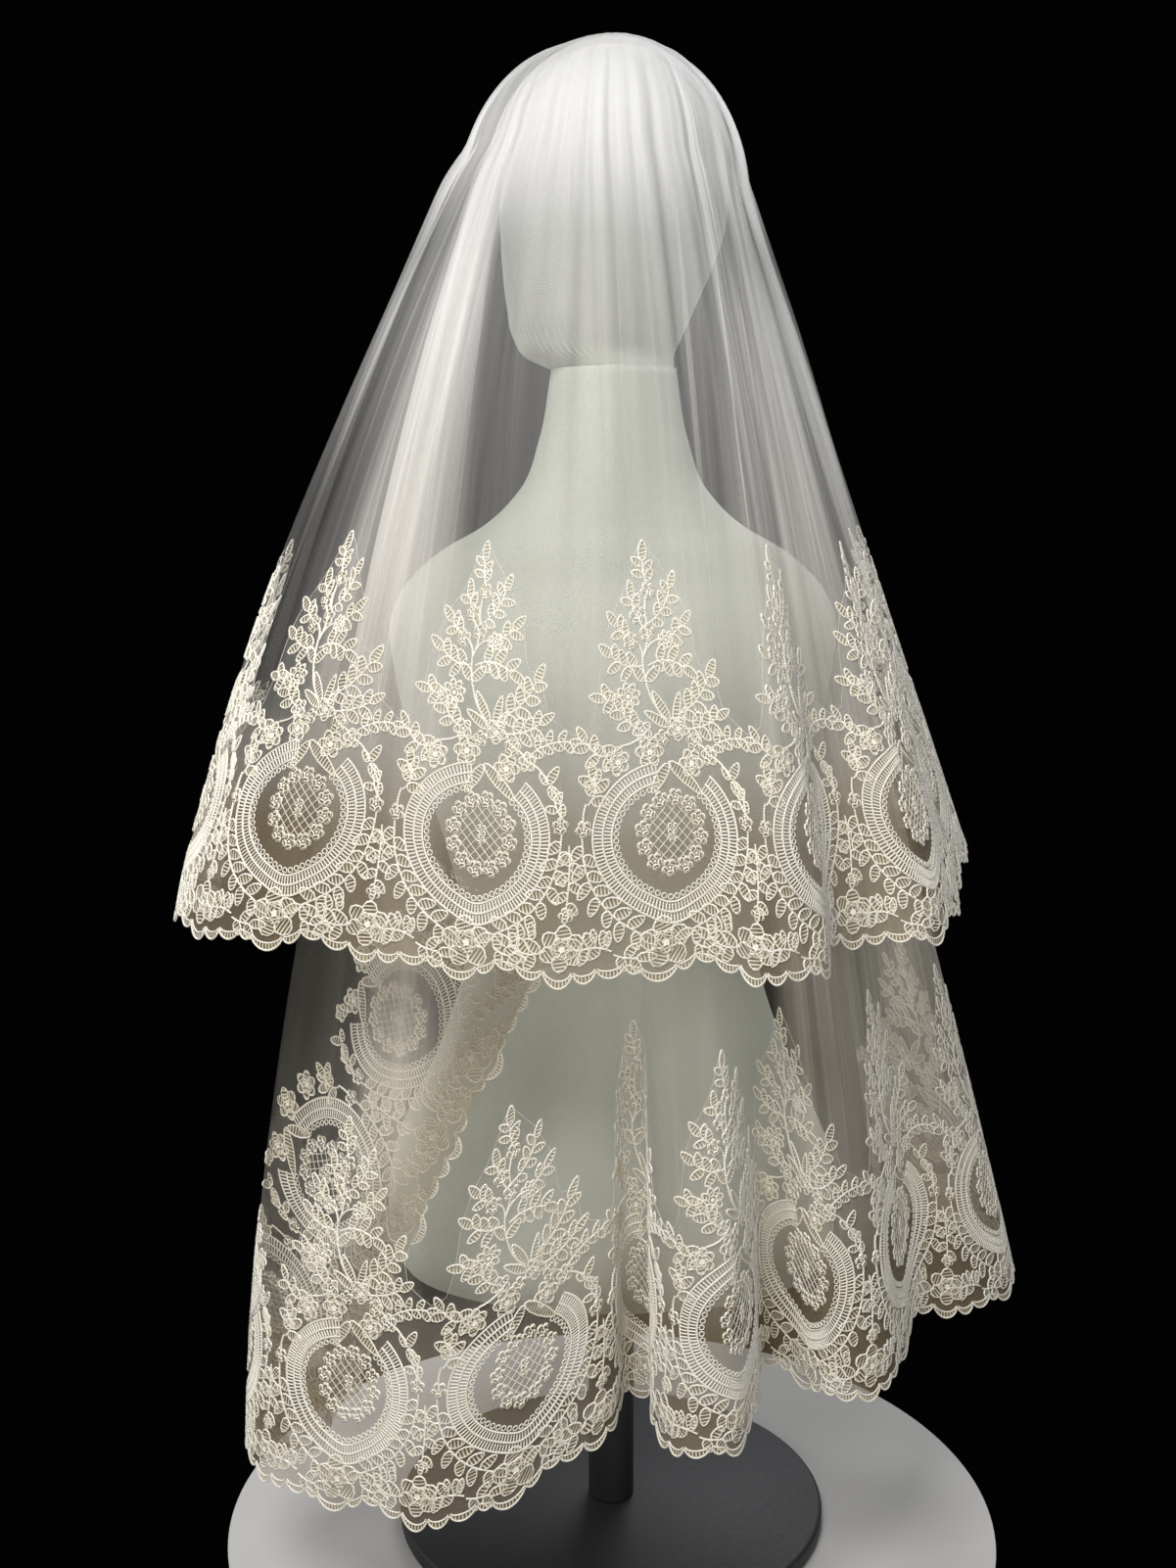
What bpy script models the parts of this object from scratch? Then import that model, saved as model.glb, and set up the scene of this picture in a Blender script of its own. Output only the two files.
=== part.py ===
"""A two-tier bridal veil with deep lace borders, draped over a limbless dress form.

The form stands on a round base with its back towards -Y. The origin is the middle of the base's
underside. Each tier is one sheet: a table gives its main folds, one row for each fold line from
the left side edge to the right one, and every other point is worked out from that table.
"""

import math

import bmesh
import bpy
import numpy as np

COLLECTION = "bridal_veil_on_dress_form"

# Cloth
NET_THICKNESS = 0.0010
LACE_THICKNESS = 0.0012
SEAM_GAP = 0.0003

# Head under the veil: the level where it is widest, and its half sizes there
HEAD_MIDDLE_Z = 0.900
HEAD_HALF_WIDTH = 0.0735
HEAD_HALF_DEPTH = 0.0950
HEAD_RISE = 0.0950
HEAD_MIDDLE_Y = 0.0050

# Gathered edge of the tiers, along the heading on the crown
GATHER_HALF_LENGTH = 0.040
GATHER_Y = 0.0150
GATHER_END_TURN = 92.0
DOME_SHARE = 1 / 6
SAMPLES = 97
UPPER_CROWN_SHARE = 0.46
LOWER_CROWN_SHARE = 0.60
FLARE_START_Z = 0.930
RIGHT_FLARE_DROP = 0.025

# Lace border
LACE_REPEAT = 0.120
LACE_VALLEY = 0.128
LACE_PEAK = 0.252
SCALLOP_DEPTH = 0.006
COLUMNS_PER_REPEAT = 10
LACE_ROWS = 3
HANG_ROWS = 5
CROWN_ROWS = 4

LOWER_FIRST_COLUMN = 7

# Fine gathers below the heading
GATHER_PITCH = 0.048
GATHER_DEPTH = 0.0030
GATHER_START_Z = 0.910
GATHER_FULL_Z = 0.820
GATHER_FADE_Z = 0.560
GATHER_FADE_HEIGHT = 0.220

# Fold lines of the short tier from its left side edge to its right one
# turn: degrees round the head from the back, right positive; off: clearance from the head
# x, y, z: the fold line's end at the hem; flare: how early it leaves the head
UPPER_FOLDS = (
    # turn,   off,    x,      y,      z,     flare
    (-92.0, 0.0230, -0.262, -0.023, 0.452, 1.25),
    (-86.0, 0.0235, -0.272, -0.034, 0.450, 1.25),
    (-78.0, 0.0235, -0.279, -0.078, 0.448, 1.25),
    (-67.0, 0.0215, -0.250, -0.132, 0.449, 1.32),
    (-56.0, 0.0190, -0.204, -0.162, 0.451, 1.40),
    (-44.0, 0.0170, -0.150, -0.170, 0.446, 1.45),
    (-30.0, 0.0165, -0.094, -0.184, 0.440, 1.45),
    (-16.0, 0.0165, -0.040, -0.198, 0.437, 1.42),
    (-3.0, 0.0165, 0.010, -0.190, 0.439, 1.40),
    (9.0, 0.0165, 0.052, -0.184, 0.440, 1.35),
    (20.0, 0.0160, 0.090, -0.208, 0.440, 1.32),
    (28.0, 0.0155, 0.117, -0.192, 0.440, 1.28),
    (37.0, 0.0150, 0.137, -0.134, 0.443, 1.24),
    (46.0, 0.0145, 0.158, -0.130, 0.444, 1.18),
    (56.0, 0.0140, 0.190, -0.128, 0.444, 1.15),
    (65.0, 0.0130, 0.218, -0.078, 0.448, 1.08),
    (73.0, 0.0120, 0.232, -0.016, 0.454, 1.02),
    (80.0, 0.0115, 0.250, 0.046, 0.460, 1.00),
    (86.0, 0.0110, 0.257, 0.104, 0.464, 1.00),
    (92.0, 0.0110, 0.220, 0.157, 0.466, 1.02),
)

# Fold lines of the long tier; its left end is turned under, between the sheet and the form
LOWER_FOLDS = (
    # turn,   off,    x,      y,      z,     flare
    (-20.0, 0.0045, -0.036, -0.130, 0.056, 1.50),
    (-32.0, 0.0045, -0.070, -0.130, 0.056, 1.50),
    (-46.0, 0.0045, -0.118, -0.122, 0.055, 1.55),
    (-62.0, 0.0045, -0.170, -0.102, 0.055, 1.65),
    (-78.0, 0.0050, -0.222, -0.066, 0.064, 1.70),
    (-86.0, 0.0075, -0.243, -0.074, 0.080, 1.62),
    (-82.0, 0.0100, -0.234, -0.104, 0.084, 1.60),
    (-70.0, 0.0105, -0.196, -0.138, 0.085, 1.58),
    (-58.0, 0.0105, -0.152, -0.160, 0.086, 1.55),
    (-47.0, 0.0105, -0.112, -0.178, 0.088, 1.50),
    (-35.0, 0.0105, -0.072, -0.172, 0.098, 1.48),
    (-25.0, 0.0105, -0.034, -0.154, 0.112, 1.46),
    (-15.0, 0.0105, -0.002, -0.134, 0.128, 1.44),
    (-9.0, 0.0105, 0.010, -0.100, 0.136, 1.42),
    (-5.0, 0.0105, 0.022, -0.102, 0.136, 1.42),
    (-1.0, 0.0105, 0.025, -0.142, 0.134, 1.40),
    (6.0, 0.0105, 0.042, -0.174, 0.132, 1.38),
    (14.0, 0.0100, 0.070, -0.173, 0.134, 1.36),
    (21.0, 0.0100, 0.089, -0.138, 0.138, 1.34),
    (27.0, 0.0095, 0.101, -0.084, 0.146, 1.32),
    (34.0, 0.0090, 0.117, -0.092, 0.144, 1.30),
    (42.0, 0.0085, 0.140, -0.128, 0.142, 1.26),
    (50.0, 0.0080, 0.174, -0.112, 0.144, 1.22),
    (57.0, 0.0080, 0.194, -0.070, 0.148, 1.30),
    (64.0, 0.0075, 0.212, -0.034, 0.156, 1.30),
    (71.0, 0.0070, 0.246, -0.022, 0.154, 1.18),
    (79.0, 0.0065, 0.292, 0.030, 0.154, 1.05),
    (86.0, 0.0055, 0.282, 0.094, 0.156, 1.02),
    (92.0, 0.0055, 0.212, 0.160, 0.158, 1.02),
)

# How far the long tier's left corner is cut away, by the distance along the hem
CORNER_CUT = (
    # along, rise
    (0.000, 0.390),
    (0.040, 0.310),
    (0.085, 0.215),
    (0.125, 0.110),
    (0.165, 0.035),
    (0.215, 0.000),
)

# Sections of the dress form
TORSO_SECTIONS = (
    # z,    half width, half depth, middle y, middle x
    (0.180, 0.146, 0.088, 0.018, 0.0),
    (0.190, 0.153, 0.094, 0.018, 0.0),
    (0.225, 0.158, 0.098, 0.018, 0.0),
    (0.265, 0.153, 0.095, 0.019, 0.0),
    (0.335, 0.122, 0.083, 0.021, 0.0),
    (0.410, 0.101, 0.074, 0.020, 0.0),
    (0.480, 0.113, 0.081, 0.012, 0.0),
    (0.550, 0.134, 0.090, 0.004, 0.0),
    (0.605, 0.146, 0.086, 0.002, 0.0),
    (0.640, 0.147, 0.075, 0.000, 0.0),
    (0.664, 0.133, 0.064, -0.003, 0.0),
    (0.682, 0.112, 0.058, -0.006, 0.0),
    (0.697, 0.086, 0.053, -0.008, 0.0),
    (0.720, 0.062, 0.051, -0.008, 0.0),
    (0.752, 0.049, 0.051, -0.006, 0.0),
    (0.797, 0.041, 0.050, -0.002, 0.0),
)
JAW_SECTIONS = (
    # z,    half width, half depth, middle y, middle x
    (0.7973, 0.0400, 0.0520, 0.004, 0.0000),
    (0.8060, 0.0490, 0.0600, 0.010, -0.0090),
    (0.8180, 0.0555, 0.0690, 0.013, -0.0105),
    (0.8380, 0.0620, 0.0785, 0.013, -0.0080),
    (0.8620, 0.0685, 0.0875, 0.010, -0.0040),
    (0.8820, 0.0724, 0.0933, 0.007, -0.0010),
)
DOME_STEPS = 8
FORM_SIDES = 28
TORSO_RINGS = 26
HEAD_RINGS = 14

# Stand
BASE_RADIUS = 0.150
BASE_THICKNESS = 0.012
POLE_RADIUS = 0.016

# Comb, lying on the crown under the gathered edge
COMB_HALF_WIDTH = 0.035
COMB_TEETH = 12
COMB_SPINE = 0.007
COMB_TOOTH = 0.036
COMB_THICKNESS = 0.0010
COMB_LIFT = 0.0009
BAND_RADIUS = 0.0035
BAND_HALF_LENGTH = 0.029


def interpolated(table, along, at):
    """Rows of a table read at any place along it, on a smooth curve through them."""
    table = np.asarray(table, float)
    slopes = np.gradient(table, along, axis=0)
    k = np.clip(np.searchsorted(along, at, side="right") - 1, 0, len(along) - 2)
    step = along[k + 1] - along[k]
    t = ((at - along[k]) / step)[:, None]
    h = step[:, None]
    return (
        (2 * t**3 - 3 * t**2 + 1) * table[k]
        + (t**3 - 2 * t**2 + t) * h * slopes[k]
        + (3 * t**2 - 2 * t**3) * table[k + 1]
        + (t**3 - t**2) * h * slopes[k + 1]
    )


def hem_places(folds):
    """How far along the hem each fold line is, measured on the table's own plan."""
    plan = np.asarray(folds, float)[:, 2:4]
    fine = np.linspace(0, len(plan) - 1, 60 * len(plan))
    curve = interpolated(plan, np.arange(len(plan), dtype=float), fine)
    steps = np.linalg.norm(np.diff(curve, axis=0), axis=1)
    return np.interp(np.arange(len(plan)), fine, np.concatenate([[0], np.cumsum(steps)]))


def drape(folds, crown_share, places, along):
    """Points down the cloth at each place along the hem, from the heading to the hem.

    crown_share is how much of its clearance the tier keeps on top of the head, where both are sewn
    together. Returns the points (place, sample, xyz) and the cloth's length down to each of them.
    """
    turn, off, x, y, z, flare = interpolated(folds, places, along).T[:, :, None]
    turn = np.radians(turn)
    q = np.linspace(0, 1, SAMPLES)[None, :]
    over = np.minimum(q / DOME_SHARE, 1) * math.pi / 2
    half_width = HEAD_HALF_WIDTH + off
    half_depth = HEAD_HALF_DEPTH + off
    start = (1 - np.sin(over)) ** 2
    start_x = GATHER_HALF_LENGTH * turn / math.radians(GATHER_END_TURN)
    dome_x = np.sin(turn) * half_width * np.sin(over) + start * start_x
    dome_y = start * (GATHER_Y - HEAD_MIDDLE_Y) - np.cos(turn) * half_depth * np.sin(over)
    from_middle = (dome_x / half_width) ** 2 + (dome_y / half_depth) ** 2
    rise = (HEAD_RISE + off * crown_share) * np.sqrt(np.clip(1 - from_middle, 0, 1))
    fall = np.clip((q - DOME_SHARE) / (1 - DOME_SHARE), 0, 1)
    level = HEAD_MIDDLE_Z + rise - (HEAD_MIDDLE_Z - z) * fall
    flare_start = FLARE_START_Z - RIGHT_FLARE_DROP * np.clip(np.sin(turn), 0, 1)
    share = np.clip((flare_start - level) / (flare_start - z), 0, 1)
    hang = 1 - (1 - share) ** flare
    reach_x = dome_x + (x - np.sin(turn) * half_width) * hang
    reach_y = HEAD_MIDDLE_Y + dome_y + (y - HEAD_MIDDLE_Y + np.cos(turn) * half_depth) * hang
    wave = np.sin(2 * math.pi * along / GATHER_PITCH)[:, None]
    below_head = np.clip((GATHER_START_Z - level) / (GATHER_START_Z - GATHER_FULL_Z), 0, 1)
    fading = np.clip((level - GATHER_FADE_Z) / GATHER_FADE_HEIGHT, 0, 1)
    depth = GATHER_DEPTH * below_head * fading
    outward_x = np.sin(turn) * wave * depth
    outward_y = -np.cos(turn) * wave * depth
    points = np.stack([reach_x + outward_x, reach_y + outward_y, level + 0 * reach_x], axis=-1)
    steps = np.linalg.norm(np.diff(points, axis=1), axis=2)
    length = np.concatenate([np.zeros((len(along), 1)), np.cumsum(steps, axis=1)], axis=1)
    return points, length


def lace_outline(column):
    """Scalloped lower edge and upper edge of the lace at a column, as heights above the hem line."""
    place = (column % COLUMNS_PER_REPEAT) / COLUMNS_PER_REPEAT
    peak = (0.5 - 0.5 * math.cos(2 * math.pi * place)) ** 1.6
    top = LACE_VALLEY + (LACE_PEAK - LACE_VALLEY) * peak
    return SCALLOP_DEPTH * (column % 2 == 0), top


def tier_points(folds, crown_share, first_column=0, corner=None):
    """The tier's grid: columns along the hem, rows from the scalloped edge up to the heading.

    first_column is where in a lace repeat the left side edge cuts the border.
    """
    places = hem_places(folds)
    columns = round(places[-1] / LACE_REPEAT * COLUMNS_PER_REPEAT)
    along = np.linspace(0, places[-1], columns + 1)
    points, length = drape(folds, crown_share, places, along)
    grid = np.empty((columns + 1, LACE_ROWS + HANG_ROWS + CROWN_ROWS + 1, 3))
    crown = np.round(np.linspace(DOME_SHARE, 0, CROWN_ROWS + 1) * (SAMPLES - 1)).astype(int)
    for i in range(columns + 1):
        low, top = lace_outline(i + first_column)
        cut = 0.0
        if corner:
            cut = float(np.interp(along[i], *np.transpose(corner)))
        whole = length[i, -1]
        heights = cut + np.linspace(low, top, LACE_ROWS + 1)
        head = whole - length[i, crown]
        hang = np.linspace(heights[-1], head[0], HANG_ROWS + 1)[1:-1]
        heights = np.concatenate([heights, hang, head])
        for axis in range(3):
            grid[i, :, axis] = np.interp(whole - heights, length[i], points[i, :, axis])
    return grid


def material(name, colour, roughness, metallic=0.0):
    """A plain material in the piece's own colour."""
    new = bpy.data.materials.new(name)
    new.use_nodes = True
    shader = new.node_tree.nodes["Principled BSDF"]
    shader.inputs["Base Color"].default_value = (*colour, 1.0)
    shader.inputs["Roughness"].default_value = roughness
    shader.inputs["Metallic"].default_value = metallic
    new.diffuse_color = (*colour, 1.0)
    return new


def piece(name, bm, finish, smooth=True):
    """The mesh as a named object in the part's collection."""
    mesh = bpy.data.meshes.new(name)
    bm.to_mesh(mesh)
    bm.free()
    if smooth:
        mesh.shade_smooth()
    obj = bpy.data.objects.new(name, mesh)
    obj.data.materials.append(finish)
    bpy.data.collections[COLLECTION].objects.link(obj)
    return obj


def grid_mesh(points, wrapped=False):
    """A grid laid on the given points; wrapped joins its first and last columns."""
    across, up = points.shape[:2]
    bm = bmesh.new()
    bmesh.ops.create_grid(bm, x_segments=across - 1, y_segments=up - 1, size=1.0)
    for vert in bm.verts:
        i = round((vert.co.x + 1) / 2 * (across - 1))
        j = round((vert.co.y + 1) / 2 * (up - 1))
        vert.co = points[i, j]
    if wrapped:
        bmesh.ops.remove_doubles(bm, verts=bm.verts, dist=1e-6)
    return bm


def grid_normals(points):
    """Unit normals of a grid of points, away from the form."""
    normal = np.cross(np.gradient(points, axis=0), np.gradient(points, axis=1))
    return normal / np.linalg.norm(normal, axis=2, keepdims=True)


def wall(name, points, thickness, offset, finish):
    """Cloth of real thickness on a grid of points. An offset of 1 puts all of it outside them."""
    obj = piece(name, grid_mesh(points), finish)
    shell = obj.modifiers.new("Thickness", "SOLIDIFY")
    shell.thickness = thickness
    shell.offset = offset
    return obj


def tier(name, points, net, lace):
    """One tier of the veil: its net, and its lace border lying on the net's outer side."""
    wall(name + "_net", points, NET_THICKNESS, 0.0, net)
    lift = NET_THICKNESS / 2 + SEAM_GAP
    outside = points + grid_normals(points) * lift
    wall(name + "_lace", outside[:, : LACE_ROWS + 1], LACE_THICKNESS, 1.0, lace)


def body_of_sections(name, sections, rings, finish):
    """A closed smooth body through oval sections."""
    sections = np.asarray(sections, float)
    heights = sections[:, 0]
    place = np.linspace(0, 1, rings)
    spaced = np.interp(place, np.linspace(0, 1, len(heights)), heights)
    rows = interpolated(sections, heights, spaced)
    angle = np.linspace(0, 2 * math.pi, FORM_SIDES + 1)[:, None]
    x = rows[:, 4] + np.cos(angle) * rows[:, 1]
    y = rows[:, 3] + np.sin(angle) * rows[:, 2]
    z = np.broadcast_to(rows[:, 0], x.shape)
    bm = grid_mesh(np.stack([x, y, z], axis=-1), wrapped=True)
    rims = [edge for edge in bm.edges if edge.is_boundary]
    bmesh.ops.holes_fill(bm, edges=rims, sides=0)
    bmesh.ops.recalc_face_normals(bm, faces=bm.faces)
    return piece(name, bm, finish)


def head_sections():
    """The jaw's sections and, above them, those of the crown's round dome."""
    rows = list(JAW_SECTIONS)
    for k in range(DOME_STEPS):
        lean = math.pi / 2 * (1 - k / (DOME_STEPS - 0.3))
        half_width = HEAD_HALF_WIDTH * math.sin(lean)
        half_depth = HEAD_HALF_DEPTH * math.sin(lean)
        rows.append((HEAD_MIDDLE_Z + HEAD_RISE * math.cos(lean), half_width, half_depth, HEAD_MIDDLE_Y, 0.0))
    return rows


def stand(finish):
    """Round base and pole under the form."""
    bm = bmesh.new()
    bmesh.ops.create_cone(
        bm, cap_ends=True, segments=48, radius1=BASE_RADIUS, radius2=BASE_RADIUS, depth=BASE_THICKNESS
    )
    base = piece("form_base", bm, finish)
    base.location.z = BASE_THICKNESS / 2
    edge = base.modifiers.new("Rounded rim", "BEVEL")
    edge.width = BASE_THICKNESS / 4
    edge.segments = 2
    bottom = BASE_THICKNESS + SEAM_GAP
    top = TORSO_SECTIONS[0][0] - SEAM_GAP
    bm = bmesh.new()
    bmesh.ops.create_cone(
        bm, cap_ends=True, segments=24, radius1=POLE_RADIUS, radius2=POLE_RADIUS, depth=top - bottom
    )
    pole = piece("form_pole", bm, finish)
    pole.location.z = (top + bottom) / 2


def on_crown(x, back, lift):
    """A point lying on the crown: x to the side and back from the middle, raised by lift."""
    side = x / (HEAD_HALF_WIDTH + lift)
    depth = back / (HEAD_HALF_DEPTH + lift)
    height = math.sqrt(max(1 - side**2 - depth**2, 0.02))
    return (x, HEAD_MIDDLE_Y - back, HEAD_MIDDLE_Z + (HEAD_RISE + lift) * height)


def comb(finish):
    """Metal comb: a spine across the crown, its teeth lying forwards over the head."""
    across = 2 * COMB_TEETH - 1
    rows = 6
    bm = bmesh.new()
    bmesh.ops.create_grid(bm, x_segments=across, y_segments=rows, size=1.0)
    gaps = [
        face
        for face in bm.faces
        if face.calc_center_median().y < 1 - 2 / rows
        and round((face.calc_center_median().x + 1) / 2 * across - 0.5) % 2 == 1
    ]
    bmesh.ops.delete(bm, geom=gaps, context="FACES")
    front = GATHER_Y + 0.004 - HEAD_MIDDLE_Y
    for vert in bm.verts:
        down = (1 - vert.co.y) / 2 * rows
        ahead = COMB_SPINE * min(down, 1) + COMB_TOOTH * max(down - 1, 0) / (rows - 1)
        vert.co = on_crown(vert.co.x * COMB_HALF_WIDTH, -(front + ahead), COMB_LIFT)
    bmesh.ops.recalc_face_normals(bm, faces=bm.faces)
    obj = piece("comb", bm, finish, smooth=False)
    shell = obj.modifiers.new("Thickness", "SOLIDIFY")
    shell.thickness = COMB_THICKNESS
    shell.offset = 0.0


def gather_band(finish):
    """Bound heading along the crown, over the two gathered edges."""
    curve = bpy.data.curves.new("gather_band_line", "CURVE")
    curve.dimensions = "3D"
    curve.bevel_depth = BAND_RADIUS
    curve.bevel_resolution = 2
    curve.use_fill_caps = True
    line = curve.splines.new("POLY")
    count = 15
    line.points.add(count - 1)
    lift = COMB_LIFT + COMB_THICKNESS / 2 + SEAM_GAP + BAND_RADIUS
    for k, point in enumerate(line.points):
        x = BAND_HALF_LENGTH * (2 * k / (count - 1) - 1)
        point.co = (*on_crown(x, HEAD_MIDDLE_Y - GATHER_Y - BAND_RADIUS - SEAM_GAP, lift), 1.0)
    curve.materials.append(finish)
    obj = bpy.data.objects.new("gather_band", curve)
    bpy.data.collections[COLLECTION].objects.link(obj)


def main():
    for obj in list(bpy.data.objects):
        bpy.data.objects.remove(obj)
    bpy.context.scene.collection.children.link(bpy.data.collections.new(COLLECTION))
    cover = material("white_cover", (0.80, 0.81, 0.82), 0.75)
    metal = material("comb_metal", (0.78, 0.77, 0.74), 0.25, 1.0)
    stand_paint = material("stand_paint", (0.82, 0.82, 0.82), 0.4)
    net = material("ivory_net", (0.86, 0.80, 0.70), 0.6)
    lace = material("ivory_lace", (0.90, 0.85, 0.72), 0.5)
    satin = material("ivory_satin", (0.90, 0.86, 0.76), 0.35)
    body_of_sections("form_torso", TORSO_SECTIONS, TORSO_RINGS, cover)
    body_of_sections("form_head", head_sections(), HEAD_RINGS, cover)
    stand(stand_paint)
    long_sheet = tier_points(LOWER_FOLDS, LOWER_CROWN_SHARE, LOWER_FIRST_COLUMN, CORNER_CUT)
    short_sheet = tier_points(UPPER_FOLDS, UPPER_CROWN_SHARE)
    tier("lower_tier", long_sheet, net, lace)
    tier("upper_tier", short_sheet, net, lace)
    comb(metal)
    gather_band(satin)


main()
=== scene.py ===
"""Looks of a two-tier bridal veil on its dress form.

The veil is two sheets of soft net gathered on a comb, each with a deep corded lace border. The
folds come from the same tables as the part's solids, with the fine gathers added here.
"""

import logging
import math
from dataclasses import dataclass
from enum import Enum

import bmesh
import bpy
import numpy as np
from mathutils import Matrix, Vector


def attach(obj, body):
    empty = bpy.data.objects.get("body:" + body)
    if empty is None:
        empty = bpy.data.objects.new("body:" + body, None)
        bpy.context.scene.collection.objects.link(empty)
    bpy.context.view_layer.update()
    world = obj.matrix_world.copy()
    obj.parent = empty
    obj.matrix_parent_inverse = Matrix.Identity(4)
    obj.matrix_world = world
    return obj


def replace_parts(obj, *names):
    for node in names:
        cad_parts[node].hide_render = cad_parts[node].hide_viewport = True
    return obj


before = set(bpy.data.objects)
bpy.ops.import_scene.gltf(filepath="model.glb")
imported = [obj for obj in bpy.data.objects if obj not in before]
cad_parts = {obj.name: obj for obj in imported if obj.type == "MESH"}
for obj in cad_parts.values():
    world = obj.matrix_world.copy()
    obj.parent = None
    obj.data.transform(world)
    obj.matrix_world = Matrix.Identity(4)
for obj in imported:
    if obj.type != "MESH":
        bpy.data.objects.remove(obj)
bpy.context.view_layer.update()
log = logging.getLogger("veil")

Row = tuple[float, ...]
Point = tuple[float, float]

HEAD_MIDDLE_Z = 0.900
HEAD_HALF_WIDTH = 0.0735
HEAD_HALF_DEPTH = 0.0950
HEAD_RISE = 0.0950
HEAD_MIDDLE_Y = 0.0050
GATHER_HALF_LENGTH = 0.040
GATHER_Y = 0.0150
GATHER_END_TURN = 92.0
DOME_SHARE = 1 / 6
SAMPLES = 145
FLARE_START_Z = 0.930
RIGHT_FLARE_DROP = 0.025
GATHER_PITCH = 0.048
GATHER_DEPTH = 0.0030
GATHER_START_Z = 0.910
GATHER_FULL_Z = 0.820
GATHER_FADE_Z = 0.560
GATHER_FADE_HEIGHT = 0.220
REPEAT = 0.120
NET_HALF = 0.0005

UPPER_FOLDS: tuple[Row, ...] = (
    # turn,   off,    x,      y,      z,     flare
    (-92.0, 0.0230, -0.262, -0.023, 0.452, 1.25),
    (-86.0, 0.0235, -0.272, -0.034, 0.450, 1.25),
    (-78.0, 0.0235, -0.279, -0.078, 0.448, 1.25),
    (-67.0, 0.0215, -0.250, -0.132, 0.449, 1.32),
    (-56.0, 0.0190, -0.204, -0.162, 0.451, 1.40),
    (-44.0, 0.0170, -0.150, -0.170, 0.446, 1.45),
    (-30.0, 0.0165, -0.094, -0.184, 0.440, 1.45),
    (-16.0, 0.0165, -0.040, -0.198, 0.437, 1.42),
    (-3.0, 0.0165, 0.010, -0.190, 0.439, 1.40),
    (9.0, 0.0165, 0.052, -0.184, 0.440, 1.35),
    (20.0, 0.0160, 0.090, -0.208, 0.440, 1.32),
    (28.0, 0.0155, 0.117, -0.192, 0.440, 1.28),
    (37.0, 0.0150, 0.137, -0.134, 0.443, 1.24),
    (46.0, 0.0145, 0.158, -0.130, 0.444, 1.18),
    (56.0, 0.0140, 0.190, -0.128, 0.444, 1.15),
    (65.0, 0.0130, 0.218, -0.078, 0.448, 1.08),
    (73.0, 0.0120, 0.232, -0.016, 0.454, 1.02),
    (80.0, 0.0115, 0.250, 0.046, 0.460, 1.00),
    (86.0, 0.0110, 0.257, 0.104, 0.464, 1.00),
    (92.0, 0.0110, 0.220, 0.157, 0.466, 1.02),
)

LOWER_FOLDS: tuple[Row, ...] = (
    # turn,   off,    x,      y,      z,     flare
    (-20.0, 0.0045, -0.036, -0.130, 0.056, 1.50),
    (-32.0, 0.0045, -0.070, -0.130, 0.056, 1.50),
    (-46.0, 0.0045, -0.118, -0.122, 0.055, 1.55),
    (-62.0, 0.0045, -0.170, -0.102, 0.055, 1.65),
    (-78.0, 0.0050, -0.222, -0.066, 0.064, 1.70),
    (-86.0, 0.0075, -0.243, -0.074, 0.080, 1.62),
    (-82.0, 0.0100, -0.234, -0.104, 0.084, 1.60),
    (-70.0, 0.0105, -0.196, -0.138, 0.085, 1.58),
    (-58.0, 0.0105, -0.152, -0.160, 0.086, 1.55),
    (-47.0, 0.0105, -0.112, -0.178, 0.088, 1.50),
    (-35.0, 0.0105, -0.072, -0.172, 0.098, 1.48),
    (-25.0, 0.0105, -0.034, -0.154, 0.112, 1.46),
    (-15.0, 0.0105, -0.002, -0.134, 0.128, 1.44),
    (-9.0, 0.0105, 0.010, -0.100, 0.136, 1.42),
    (-5.0, 0.0105, 0.022, -0.102, 0.136, 1.42),
    (-1.0, 0.0105, 0.025, -0.142, 0.134, 1.40),
    (6.0, 0.0105, 0.042, -0.174, 0.132, 1.38),
    (14.0, 0.0100, 0.070, -0.173, 0.134, 1.36),
    (21.0, 0.0100, 0.089, -0.138, 0.138, 1.34),
    (27.0, 0.0095, 0.101, -0.084, 0.146, 1.32),
    (34.0, 0.0090, 0.117, -0.092, 0.144, 1.30),
    (42.0, 0.0085, 0.140, -0.128, 0.142, 1.26),
    (50.0, 0.0080, 0.174, -0.112, 0.144, 1.22),
    (57.0, 0.0080, 0.194, -0.070, 0.148, 1.30),
    (64.0, 0.0075, 0.212, -0.034, 0.156, 1.30),
    (71.0, 0.0070, 0.246, -0.022, 0.154, 1.18),
    (79.0, 0.0065, 0.292, 0.030, 0.154, 1.05),
    (86.0, 0.0055, 0.282, 0.094, 0.156, 1.02),
    (92.0, 0.0055, 0.212, 0.160, 0.158, 1.02),
)

CORNER_CUT: tuple[Point, ...] = (
    # along, rise
    (0.000, 0.390),
    (0.040, 0.310),
    (0.085, 0.215),
    (0.125, 0.110),
    (0.165, 0.035),
    (0.215, 0.000),
)

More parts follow.
